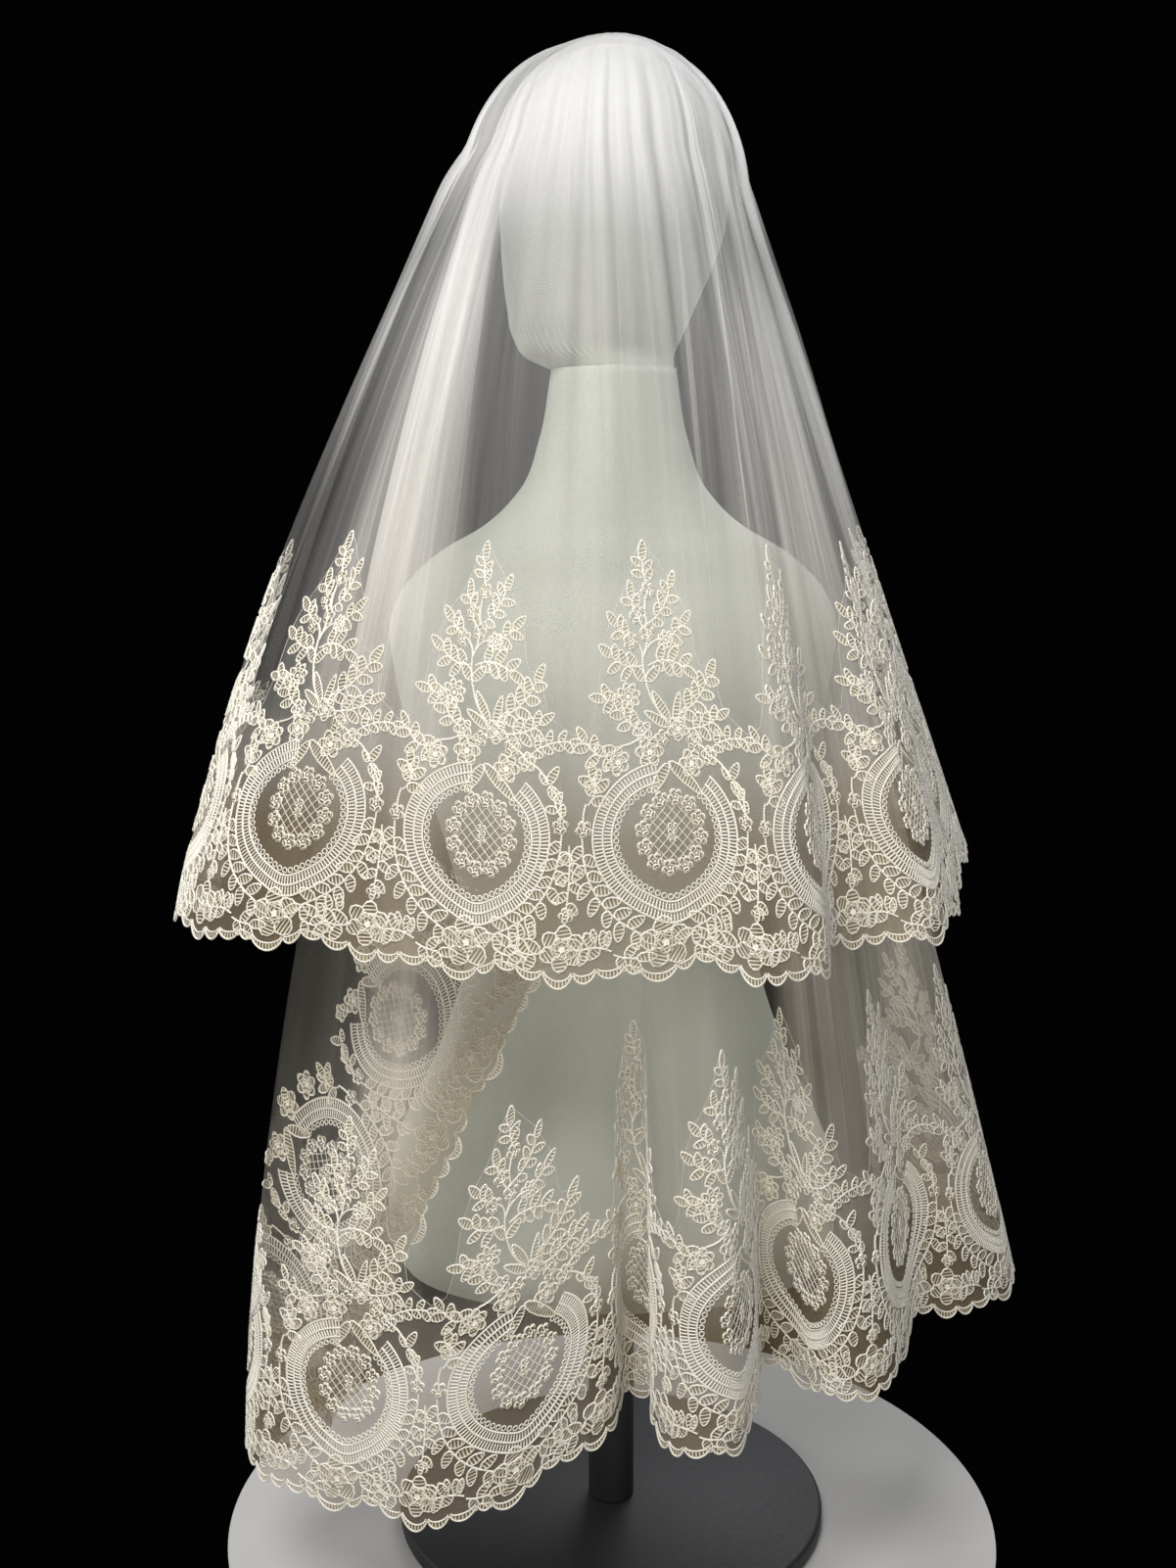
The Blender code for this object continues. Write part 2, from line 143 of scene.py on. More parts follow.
TORSO_SECTIONS: tuple[Row, ...] = (
    # z,    half width, half depth, middle y, middle x
    (0.180, 0.146, 0.088, 0.018, 0.0),
    (0.190, 0.153, 0.094, 0.018, 0.0),
    (0.225, 0.158, 0.098, 0.018, 0.0),
    (0.265, 0.153, 0.095, 0.019, 0.0),
    (0.335, 0.122, 0.083, 0.021, 0.0),
    (0.410, 0.101, 0.074, 0.020, 0.0),
    (0.480, 0.113, 0.081, 0.012, 0.0),
    (0.550, 0.134, 0.090, 0.004, 0.0),
    (0.605, 0.146, 0.086, 0.002, 0.0),
    (0.640, 0.147, 0.075, 0.000, 0.0),
    (0.664, 0.133, 0.064, -0.003, 0.0),
    (0.682, 0.112, 0.058, -0.006, 0.0),
    (0.697, 0.086, 0.053, -0.008, 0.0),
    (0.720, 0.062, 0.051, -0.008, 0.0),
    (0.752, 0.049, 0.051, -0.006, 0.0),
    (0.797, 0.041, 0.050, -0.002, 0.0),
)
JAW_SECTIONS: tuple[Row, ...] = (
    # z,    half width, half depth, middle y, middle x
    (0.7973, 0.0400, 0.0520, 0.004, 0.0000),
    (0.8060, 0.0490, 0.0600, 0.010, -0.0090),
    (0.8180, 0.0555, 0.0690, 0.013, -0.0105),
    (0.8380, 0.0620, 0.0785, 0.013, -0.0080),
    (0.8620, 0.0685, 0.0875, 0.010, -0.0040),
    (0.8820, 0.0724, 0.0933, 0.007, -0.0010),
)

# One repeat of the lace, in millimetres: u across from the medallion's middle, v up from the hem
SCALLOPS: tuple[Row, ...] = (
    # u,    v,    depth to the next one
    (-60.0, 10.0, 6.5),
    (-46.0, 11.0, 6.0),
    (-29.0, 12.0, 4.0),
    (-20.0, 9.5, 8.5),
    (2.5, 10.0, 5.0),
    (13.5, 15.5, 3.5),
    (26.0, 14.0, 6.0),
    (42.0, 12.0, 9.0),
    (60.0, 10.0, 0.0),
)
SPRIGS: tuple[Row, ...] = (
    # from u, v,   to u,   v,    bend, leaves, leaf length, tip leaf length
    (-7.6, 229.0, -10.4, 243.0, 1.0, 4, 6.7, 9.9),
    (-9.0, 207.0, 8.5, 227.0, -3.0, 6, 7.2, 8.8),
    (-15.0, 214.0, -19.0, 221.0, 1.0, 2, 7.2, 9.4),
    (-21.0, 200.0, -30.0, 206.0, 1.0, 3, 7.2, 9.4),
    (4.0, 199.0, 15.0, 205.5, -1.0, 3, 7.4, 9.4),
    (-14.0, 183.0, -34.0, 189.0, 2.5, 5, 7.9, 9.9),
    (-10.0, 183.0, 15.0, 181.5, 3.5, 6, 8.2, 9.9),
    (-30.0, 166.0, -39.0, 165.0, 1.0, 3, 7.9, 9.5),
    (9.3, 154.0, 33.0, 176.0, -3.0, 7, 8.6, 10.5),
    (13.0, 146.0, 37.0, 153.0, -2.0, 6, 8.2, 9.4),
    (-16.0, 147.0, -28.0, 157.5, 2.0, 4, 8.2, 9.4),
    (-29.0, 138.0, -52.0, 142.0, 7.0, 6, 8.2, 8.8),
    (30.0, 134.0, 57.0, 143.0, 3.0, 7, 6.7, 6.6),
    (-51.0, 106.0, -47.0, 119.0, -2.0, 4, 8.9, 9.5),
    (55.5, 97.0, 48.0, 111.0, 1.5, 3, 6.7, 5.5),
    (-54.5, 88.0, -19.0, 29.5, -10.5, 13, 8.8, 9.6),
    (53.0, 91.0, 12.0, 30.5, 11.5, 14, 8.8, 9.6),
    (57.5, 84.0, 56.0, 47.0, 1.0, 6, 7.7, 6.6),
    (-37.0, 21.0, -57.0, 23.0, -2.0, 5, 8.6, 9.9),
    (-36.0, 19.0, -22.0, 16.0, -1.0, 3, 7.9, 9.9),
    (44.0, 24.0, 24.0, 25.0, 3.0, 5, 8.9, 9.9),
    (12.0, 24.0, 22.0, 19.5, -1.0, 2, 7.2, 8.8),
)
LEAVES: tuple[Row, ...] = (
    # u,     v,    direction, length, width
    (-12.0, 174.0, 128.0, 13.0, 6.6),
    (-11.5, 174.0, 42.0, 13.5, 6.8),
    (3.5, 150.0, 121.0, 22.0, 6.4),
    (6.5, 150.0, 76.0, 18.5, 5.6),
    (2.5, 147.5, 148.0, 19.0, 6.0),
    (9.5, 149.5, 60.0, 11.0, 4.4),
    (1.0, 127.0, 236.0, 21.0, 7.2),
    (1.0, 128.0, 318.0, 30.0, 7.4),
    (43.5, 119.0, 56.0, 12.5, 6.4),
    (43.5, 118.5, 128.0, 9.0, 5.0),
    (44.0, 118.0, 310.0, 13.5, 7.0),
    (-43.0, 113.0, 150.0, 9.0, 5.2),
    (-46.0, 118.0, 72.0, 9.0, 5.2),
    (36.0, 30.0, 96.0, 10.5, 5.6),
    (30.0, 30.0, 104.0, 9.5, 5.2),
    (-40.0, 24.0, 78.0, 9.5, 5.2),
    (-47.0, 27.0, 98.0, 8.5, 5.0),
)
FLOWERS: tuple[Row, ...] = (
    # u,    v,     radius, petals, double
    (-7.6, 226.0, 5.0, 5, 0),
    (-15.5, 212.5, 5.2, 5, 0),
    (-9.0, 202.0, 5.0, 5, 0),
    (-20.8, 197.5, 5.2, 6, 0),
    (3.6, 197.5, 5.6, 7, 0),
    (-23.7, 166.0, 7.8, 8, 0),
    (8.5, 146.5, 6.8, 5, 1),
    (-32.0, 129.5, 7.8, 6, 1),
    (-11.0, 134.0, 8.4, 6, 1),
    (16.5, 126.5, 8.0, 6, 1),
    (19.5, 138.5, 5.2, 5, 0),
    (29.8, 131.0, 5.6, 5, 0),
    (-15.0, 146.0, 6.0, 5, 0),
    (-2.5, 141.5, 4.6, 5, 0),
    (52.0, 95.0, 4.8, 5, 0),
    (-53.5, 92.5, 4.8, 5, 0),
    (56.0, 44.0, 4.4, 5, 0),
    (-4.5, 24.0, 14.0, 5, 1),
    (53.5, 25.0, 12.5, 6, 1),
)
STEMS: tuple[Row, ...] = (
    # from u, v,    to u,   v,     bend
    (-10.8, 171.0, -12.8, 190.0, 1.0),
    (-12.8, 188.0, -20.0, 199.0, -2.0),
    (-12.6, 188.0, 2.5, 198.0, 3.5),
    (-12.8, 188.0, -9.5, 202.0, -1.0),
    (-9.3, 203.0, -15.5, 212.0, 1.0),
    (-9.0, 206.0, -7.6, 226.0, 2.0),
    (-10.8, 172.0, 1.0, 152.0, -2.0),
    (43.5, 119.0, 31.0, 131.0, -2.0),
    (44.0, 118.0, 51.5, 96.0, 4.0),
    (-52.0, 107.0, -53.5, 93.0, -1.0),
    (-29.0, 138.0, -11.0, 147.0, -2.0),
    (20.0, 139.0, 30.0, 131.0, 1.0),
)
# How much light the net stops where it hangs fuller or thinner, at five heights
# The dark tan that the net's colour turns to over the lace zone is painted shade: it stands for the shaded body
# behind the doubled lace and the net's shadow on it, not for the net's own colour
GROUND_PAINTED_SHADE: Row = (0.24, 0.165, 0.07)
BAND_LEVELS: Row = (0.15, 0.45, 0.70, 0.86, 0.95)
UPPER_BANDS: tuple[Row, ...] = (
    # along, hem,  lace, neck, jaw, crown
    (0.000, 0.04, 0.04, 0.05, 0.14, 0.44),
    (0.130, 0.04, 0.04, 0.05, 0.16, 0.46),
    (0.160, 0.06, 0.06, 0.12, 0.24, 0.46),
    (0.185, 0.10, 0.12, 0.30, 0.34, 0.46),
    (0.215, 0.14, 0.18, 0.26, 0.40, 0.46),
    (0.245, 0.14, 0.18, 0.16, 0.26, 0.44),
    (0.262, 0.05, 0.05, 0.05, 0.08, 0.44),
    (0.330, 0.05, 0.05, 0.08, 0.09, 0.44),
    (0.360, 0.07, 0.08, 0.14, 0.16, 0.44),
    (0.400, 0.06, 0.07, 0.09, 0.18, 0.44),
    (0.450, 0.08, 0.09, 0.14, 0.18, 0.46),
    (0.470, 0.06, 0.06, 0.10, 0.16, 0.44),
    (0.488, 0.06, 0.06, 0.10, 0.16, 0.44),
    (0.510, 0.14, 0.16, 0.22, 0.30, 0.44),
    (0.560, 0.16, 0.20, 0.24, 0.30, 0.44),
    (0.610, 0.16, 0.20, 0.20, 0.15, 0.44),
    (0.700, 0.12, 0.12, 0.10, 0.06, 0.50),
    (0.800, 0.08, 0.08, 0.08, 0.08, 0.50),
    (0.947, 0.10, 0.10, 0.18, 0.18, 0.50),
)
LOWER_BANDS: tuple[Row, ...] = (
    # along, hem,  lace, neck, jaw, crown
    (0.000, 0.06, 0.05, 0.04, 0.06, 0.40),
    (0.090, 0.06, 0.05, 0.04, 0.06, 0.50),
    (0.112, 0.06, 0.40, 0.08, 0.12, 0.48),
    (0.135, 0.10, 0.38, 0.22, 0.40, 0.50),
    (0.160, 0.08, 0.10, 0.42, 0.52, 0.52),
    (0.205, 0.05, 0.05, 0.48, 0.48, 0.52),
    (0.235, 0.04, 0.04, 0.42, 0.40, 0.52),
    (0.270, 0.03, 0.03, 0.26, 0.28, 0.48),
    (0.300, 0.03, 0.03, 0.24, 0.26, 0.40),
    (0.330, 0.03, 0.05, 0.26, 0.22, 0.40),
    (0.365, 0.06, 0.24, 0.22, 0.20, 0.40),
    (0.388, 0.06, 0.16, 0.06, 0.08, 0.50),
    (0.412, 0.05, 0.05, 0.04, 0.05, 0.40),
    (0.460, 0.05, 0.03, 0.03, 0.05, 0.40),
    (0.540, 0.08, 0.06, 0.05, 0.08, 0.40),
    (0.600, 0.14, 0.10, 0.05, 0.10, 0.40),
    (0.690, 0.20, 0.12, 0.06, 0.10, 0.40),
    (0.725, 0.12, 0.10, 0.12, 0.14, 0.40),
    (0.765, 0.08, 0.06, 0.12, 0.12, 0.40),
    (0.800, 0.06, 0.05, 0.10, 0.12, 0.40),
    (0.835, 0.20, 0.36, 0.28, 0.26, 0.50),
    (0.920, 0.18, 0.36, 0.30, 0.28, 0.50),
    (1.020, 0.14, 0.30, 0.16, 0.14, 0.40),
    (1.120, 0.14, 0.26, 0.18, 0.14, 0.40),
    (1.250, 0.16, 0.16, 0.20, 0.18, 0.40),
)
TRIM_LINE: tuple[Point, ...] = (
    # u,     v
    (-60.0, 146.0),
    (-50.0, 150.0),
    (-44.0, 168.0),
    (-42.0, 192.0),
    (-35.0, 211.0),
    (-24.0, 228.0),
    (-11.0, 256.0),
    (8.0, 235.0),
    (22.0, 210.0),
    (26.0, 184.0),
    (38.0, 181.0),
    (42.0, 158.0),
    (60.0, 146.0),
)


def interpolated(table: np.ndarray, along: np.ndarray, at: np.ndarray) -> np.ndarray:
    """Rows of a table read at any place along it, on a smooth curve through them.

    Args:
        table: One row for each known place.
        along: The known places, rising.
        at: The places wanted.

    Returns:
        One row for each wanted place.
    """
    slopes = np.gradient(table, along, axis=0)
    k = np.clip(np.searchsorted(along, at, side="right") - 1, 0, len(along) - 2)
    h = (along[k + 1] - along[k])[:, None]
    t = (at - along[k])[:, None] / h
    return (
        (2 * t**3 - 3 * t**2 + 1) * table[k]
        + (t**3 - 2 * t**2 + t) * h * slopes[k]
        + (3 * t**2 - 2 * t**3) * table[k + 1]
        + (t**3 - t**2) * h * slopes[k + 1]
    )


def grid_normals(points: np.ndarray) -> np.ndarray:
    """Unit normals of a grid of points.

    Args:
        points: The grid, columns first.

    Returns:
        A normal for each point, to the outside of the cloth.
    """
    normal = np.cross(np.gradient(points, axis=0), np.gradient(points, axis=1))
    return normal / np.maximum(np.linalg.norm(normal, axis=2, keepdims=True), 1e-12)


def hem_line(u: np.ndarray) -> np.ndarray:
    """Height of the scalloped edge, in millimetres.

    Args:
        u: Places across the lace, in millimetres, in any repeat.

    Returns:
        The edge's height above the hem line at each place.
    """
    table = np.array(SCALLOPS)
    place = (np.asarray(u, float) + 60.0) % 120.0 - 60.0
    k = np.clip(np.searchsorted(table[:, 0], place, side="right") - 1, 0, len(table) - 2)
    share = (place - table[k, 0]) / (table[k + 1, 0] - table[k, 0])
    chord = table[k, 1] + (table[k + 1, 1] - table[k, 1]) * share
    return chord - table[k, 2] * np.clip(1 - (2 * share - 1) ** 2, 0, 1) ** 0.75


class Weave(Enum):
    """How a cloth finish is textured."""

    KNIT = "knit"
    TULLE = "tulle"
    STITCH = "stitch"
    TWIST = "twist"


@dataclass
class Amount:
    """A number or colour that varies over a surface, which can be used in sums."""

    tree: bpy.types.NodeTree
    socket: bpy.types.NodeSocket

    def _sum(self, operation: str, *values: "Amount | float") -> "Amount":
        """A Math node on the given values.

        Args:
            operation: The node's operation.
            values: Its inputs, in order.

        Returns:
            The node's result.
        """
        node = self.tree.nodes.new("ShaderNodeMath")
        node.operation = operation
        for slot, value in zip(node.inputs, values):
            if isinstance(value, Amount):
                self.tree.links.new(value.socket, slot)
            else:
                slot.default_value = value
        return Amount(self.tree, node.outputs[0])

    def __add__(self, other: "Amount | float") -> "Amount":
        """This plus the other."""
        return self._sum("ADD", self, other)

    def __radd__(self, other: float) -> "Amount":
        """The other plus this."""
        return self._sum("ADD", other, self)

    def __sub__(self, other: "Amount | float") -> "Amount":
        """This minus the other."""
        return self._sum("SUBTRACT", self, other)

    def __rsub__(self, other: float) -> "Amount":
        """The other minus this."""
        return self._sum("SUBTRACT", other, self)

    def __mul__(self, other: "Amount | float") -> "Amount":
        """This times the other."""
        return self._sum("MULTIPLY", self, other)

    def __rmul__(self, other: float) -> "Amount":
        """The other times this."""
        return self._sum("MULTIPLY", other, self)

    def wave(self) -> "Amount":
        """The sine of this."""
        return self._sum("SINE", self)

    def power(self, other: float) -> "Amount":
        """This to a power."""
        return self._sum("POWER", self, other)

    def larger(self, other: "Amount | float") -> "Amount":
        """The larger of this and the other."""
        return self._sum("MAXIMUM", self, other)

    def smaller(self, other: "Amount | float") -> "Amount":
        """The smaller of this and the other."""
        return self._sum("MINIMUM", self, other)

    def size(self) -> "Amount":
        """This without its sign."""
        return self._sum("ABSOLUTE", self)


class Dye:
    """A material being made: its node tree and the ways to add to it."""

    def __init__(self, name: str) -> None:
        """Starts a material with its surface shader.

        Args:
            name: The material's name.
        """
        self.material = bpy.data.materials.new(name)
        self.material.use_nodes = True
        self.tree = self.material.node_tree
        self.shader = self.tree.nodes["Principled BSDF"]

    def node(self, kind: str, settings: dict | None = None, inputs: dict | None = None) -> bpy.types.Node:
        """A node with its settings and its inputs.

        Args:
            kind: The node's type.
            settings: Its properties, set first.
            inputs: Its sockets' values or links, by name or number.

        Returns:
            The node.
        """
        new = self.tree.nodes.new(kind)
        for name, value in (settings or {}).items():
            setattr(new, name, value)
        for name, value in (inputs or {}).items():
            self.feed(new.inputs[name], value)
        return new

    def feed(self, socket: bpy.types.NodeSocket, value: object) -> None:
        """Gives a socket a value or a link."""
        if isinstance(value, Amount):
            self.tree.links.new(value.socket, socket)
        elif isinstance(value, bpy.types.NodeSocket):
            self.tree.links.new(value, socket)
        else:
            socket.default_value = value

    def amount(self, node: bpy.types.Node, output: str | int = 0) -> Amount:
        """A node's output, ready for sums."""
        return Amount(self.tree, node.outputs[output])

    def set(self, **values: object) -> None:
        """Sets the surface shader's sockets, named with underscores for spaces."""
        for name, value in values.items():
            self.feed(self.shader.inputs[name.replace("_", " ")], value)

    def place(self, source: str) -> tuple[Amount, Amount, Amount]:
        """The three parts of a position on the piece.

        Args:
            source: Object or UV.

        Returns:
            Its x, y and z.
        """
        spot = self.node("ShaderNodeTexCoord")
        parts = self.node("ShaderNodeSeparateXYZ", inputs={0: spot.outputs[source]})
        return self.amount(parts, 0), self.amount(parts, 1), self.amount(parts, 2)

    def noise(self, scale: float, detail: float = 2.0) -> Amount:
        """Soft uneven patches over the piece, from 0 to 1."""
        spot = self.node("ShaderNodeTexCoord")
        made = self.node(
            "ShaderNodeTexNoise",
            inputs={"Vector": spot.outputs["Object"], "Scale": scale, "Detail": detail},
        )
        return self.amount(made, "Fac")

    def blend(self, share: Amount, first: object, second: object) -> bpy.types.NodeSocket:
        """A colour between two, by a share."""
        mix = self.node("ShaderNodeMix", {"data_type": "RGBA"})
        for index, part in ((0, share), (6, first), (7, second)):
            self.feed(mix.inputs[index], (*part, 1.0) if isinstance(part, tuple) else part)
        return mix.outputs[2]

    def bump(self, height: Amount, distance: float, strength: float = 1.0) -> None:
        """Raises the surface's look by a height."""
        made = self.node(
            "ShaderNodeBump", inputs={"Height": height, "Distance": distance, "Strength": strength}
        )
        self.feed(self.shader.inputs["Normal"], made.outputs[0])


@dataclass(frozen=True)
class ClothFinish:
    """A cloth's colour and weave."""

    name: str
    colour: Row
    shade: Row
    weave: Weave
    roughness: float = 0.6
    sheen: float = 0.2
    pitch: float = 0.0011
    depth: float = 0.0002
    open: float = 0.0

    def make(self) -> bpy.types.Material:
        """The finish as a material."""
        dye = Dye(self.name)
        patch = dye.noise(38.0, 3.0)
        dye.set(
            Base_Color=dye.blend(patch, self.colour, self.shade),
            Roughness=self.roughness,
            Sheen_Weight=self.sheen,
            Sheen_Roughness=0.4,
        )
        step = 2 * math.pi / self.pitch
        if self.weave is Weave.KNIT:
            x, y, z = dye.place("Object")
            ribs = ((x + y) * step).wave() * (z * step).wave()
            # Up the head the colour goes from the torso's to the head's: paler toward the crown is painted light from
            # above, darker torso and lower head is painted shade; the torso's greener tint is the cover's own
            dye.set(Base_Color=dye.blend((z - 0.80) * 7.0 + patch * 0.2, self.colour, self.shade))
            dye.bump(ribs + patch * 0.8, self.depth, 0.6)
        if self.weave is Weave.STITCH:
            along, across, _ = dye.place("UV")
            thread = (along * step + across * 700.0).wave()
            # Lighter on each thread and darker between threads: painted shade in the grooves between stitches; in the
            # lace filling the deep dark also stands for shade seen through its open gaps
            share = thread * 0.6 + 0.62 - dye.noise(130.0, 1.0) * 0.3
            dye.set(Base_Color=dye.blend(share, self.shade, self.colour))
            if self.open:
                dye.set(Alpha=(share * 0.75 + 0.25 - self.open).larger(0.22).smaller(1.0))
            dye.bump(thread, self.depth, 0.8)
        if self.weave is Weave.TWIST:
            along, across, _ = dye.place("UV")
            thread = (along * step + across * 2600.0).wave()
            dye.bump(thread, self.depth, 0.7)
        if self.weave is Weave.TULLE:
            across, up, _ = dye.place("UV")
            _, _, height = dye.place("Object")
            one = ((across + up * 0.577) * step).wave()
            other = ((across - up * 0.577) * step).wave()
            mesh = (one * other).size()
            cover = dye.amount(dye.node("ShaderNodeAttribute", {"attribute_name": "cover"}), "Fac")
            # The net's colour: cooler and paler toward the crown is painted light from above; the warmer ivory lower
            # down and where the net is fuller is the net's own colour
            lower = ((0.95 - height) * 1.7).larger(0.0).smaller(1.0)
            plain = dye.blend(lower * 0.8 + cover * 0.45 - 0.25, self.shade, self.colour)
            # Over the lace zone the colour turns to a dark tan that is painted shade
            ground_shade = dye.amount(dye.node("ShaderNodeAttribute", {"attribute_name": "ground_shade"}), "Fac")
            dye.set(Base_Color=dye.blend(ground_shade * 0.85, plain, GROUND_PAINTED_SHADE))
            dye.set(Alpha=cover * (0.66 + mesh * 0.84))
            dye.bump(mesh, self.depth, 0.3)
        return dye.material


@dataclass(frozen=True)
class HardFinish:
    """Paint or bright metal."""

    name: str
    colour: Row
    roughness: float
    metallic: float = 0.0

    def make(self) -> bpy.types.Material:
        """The finish as a material, with fine wear in its gloss."""
        dye = Dye(self.name)
        grain = dye.noise(240.0, 4.0)
        darker = tuple(0.9 * part for part in self.colour)
        dye.set(
            Base_Color=dye.blend(dye.noise(14.0), self.colour, darker),
            Roughness=self.roughness + (grain - 0.5) * 0.16,
            Metallic=self.metallic,
        )
        dye.bump(grain, 0.0001, 0.25)
        return dye.material


class Wardrobe:
    """Every finish of the veil and its form, made once."""

    def __init__(self) -> None:
        """Makes the materials."""
        # form_cover: the darker green-grey torso colour is painted shade and the paler head colour is painted light
        # from above; the green tint itself is the cover's own
        self.cover = ClothFinish("form_cover", (0.53, 0.55, 0.48), (0.72, 0.725, 0.73), Weave.KNIT, 0.85).make()
        # soft_net: the warm ivory is the net's own colour; the cool near-white it turns to toward the crown is
        # painted light from above
        self.net = ClothFinish(
            "soft_net", (0.93, 0.84, 0.66), (0.89, 0.885, 0.88), Weave.TULLE, 0.55, 0.3, 0.0016, 0.0001
        ).make()
        self.cord = ClothFinish(
            "lace_cord", (1.0, 0.99, 0.94), (1.0, 0.93, 0.77), Weave.TWIST, 0.42, 0.3, 0.0016
        ).make()
        # lace_satin_stitch and heading_satin: the second, darker colour is painted shade between the stitches; in the
        # lace filling it is dark brown, for the shade seen through its gaps
        self.fill = ClothFinish(
            "lace_satin_stitch", (1.0, 0.93, 0.75), (0.34, 0.25, 0.12), Weave.STITCH, 0.36, 0.3, 0.0022, 0.0004, 0.2
        ).make()
        self.satin = ClothFinish(
            "heading_satin", (0.92, 0.87, 0.76), (0.84, 0.77, 0.62), Weave.STITCH, 0.3, 0.3, 0.0012
        ).make()
        self.paint = HardFinish("stand_paint_finish", (0.012, 0.012, 0.014), 0.55).make()
        self.metal = HardFinish("comb_metal_finish", (0.82, 0.80, 0.76), 0.24, 1.0).make()


def finished(name: str, bm: bmesh.types.BMesh, *materials: bpy.types.Material) -> bpy.types.Object:
    """A mesh as a smooth piece that rides on the part.

    Args:
        name: The piece's name.
        bm: Its mesh, which is freed.
        materials: Its materials, in slot order.

    Returns:
        The new object.
    """
    mesh = bpy.data.meshes.new(name)
    bm.to_mesh(mesh)
    bm.free()
    mesh.shade_smooth()
    for item in materials:
        mesh.materials.append(item)
    obj = bpy.data.objects.new(name, mesh)
    bpy.context.scene.collection.objects.link(obj)
    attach(obj, "root")
    log.info("%s: %d faces", name, len(mesh.polygons))
    return obj


def laid_grid(points: np.ndarray, spread: np.ndarray | None = None, wrapped: bool = False) -> bmesh.types.BMesh:
    """A grid laid on points.

    Args:
        points: The grid's points, columns first.
        spread: A UV place for each point, if it has one.
        wrapped: Whether the first and last columns meet.

    Returns:
        The mesh.
    """
    across, up = points.shape[:2]
    bm = bmesh.new()
    bmesh.ops.create_grid(bm, x_segments=across - 1, y_segments=up - 1, size=1.0)
    spots = {}
    for vert in bm.verts:
        i = round((vert.co.x + 1) / 2 * (across - 1))
        j = round((vert.co.y + 1) / 2 * (up - 1))
        spots[vert.index] = (i, j)
        vert.co = points[i, j]
    if spread is not None:
        layer = bm.loops.layers.uv.new("flat")
        for face in bm.faces:
            for loop in face.loops:
                loop[layer].uv = spread[spots[loop.vert.index]]
    if wrapped:
        bmesh.ops.remove_doubles(bm, verts=bm.verts, dist=1e-6)
    return bm


def curve_points(start: Point, end: Point, bend: float, count: int) -> np.ndarray:
    """Points on an arc between two places.

    Args:
        start: Where it starts.
        end: Where it ends.
        bend: How far its middle stands off the straight line, to its left if positive.
        count: How many points.

    Returns:
        The points, from start to end.
    """
    first, last = np.array(start), np.array(end)
    run = last - first
    left = np.array([-run[1], run[0]]) / max(np.linalg.norm(run), 1e-9)
    t = np.linspace(0, 1, count)[:, None]
    return first + run * t + left * bend * 4 * t * (1 - t)


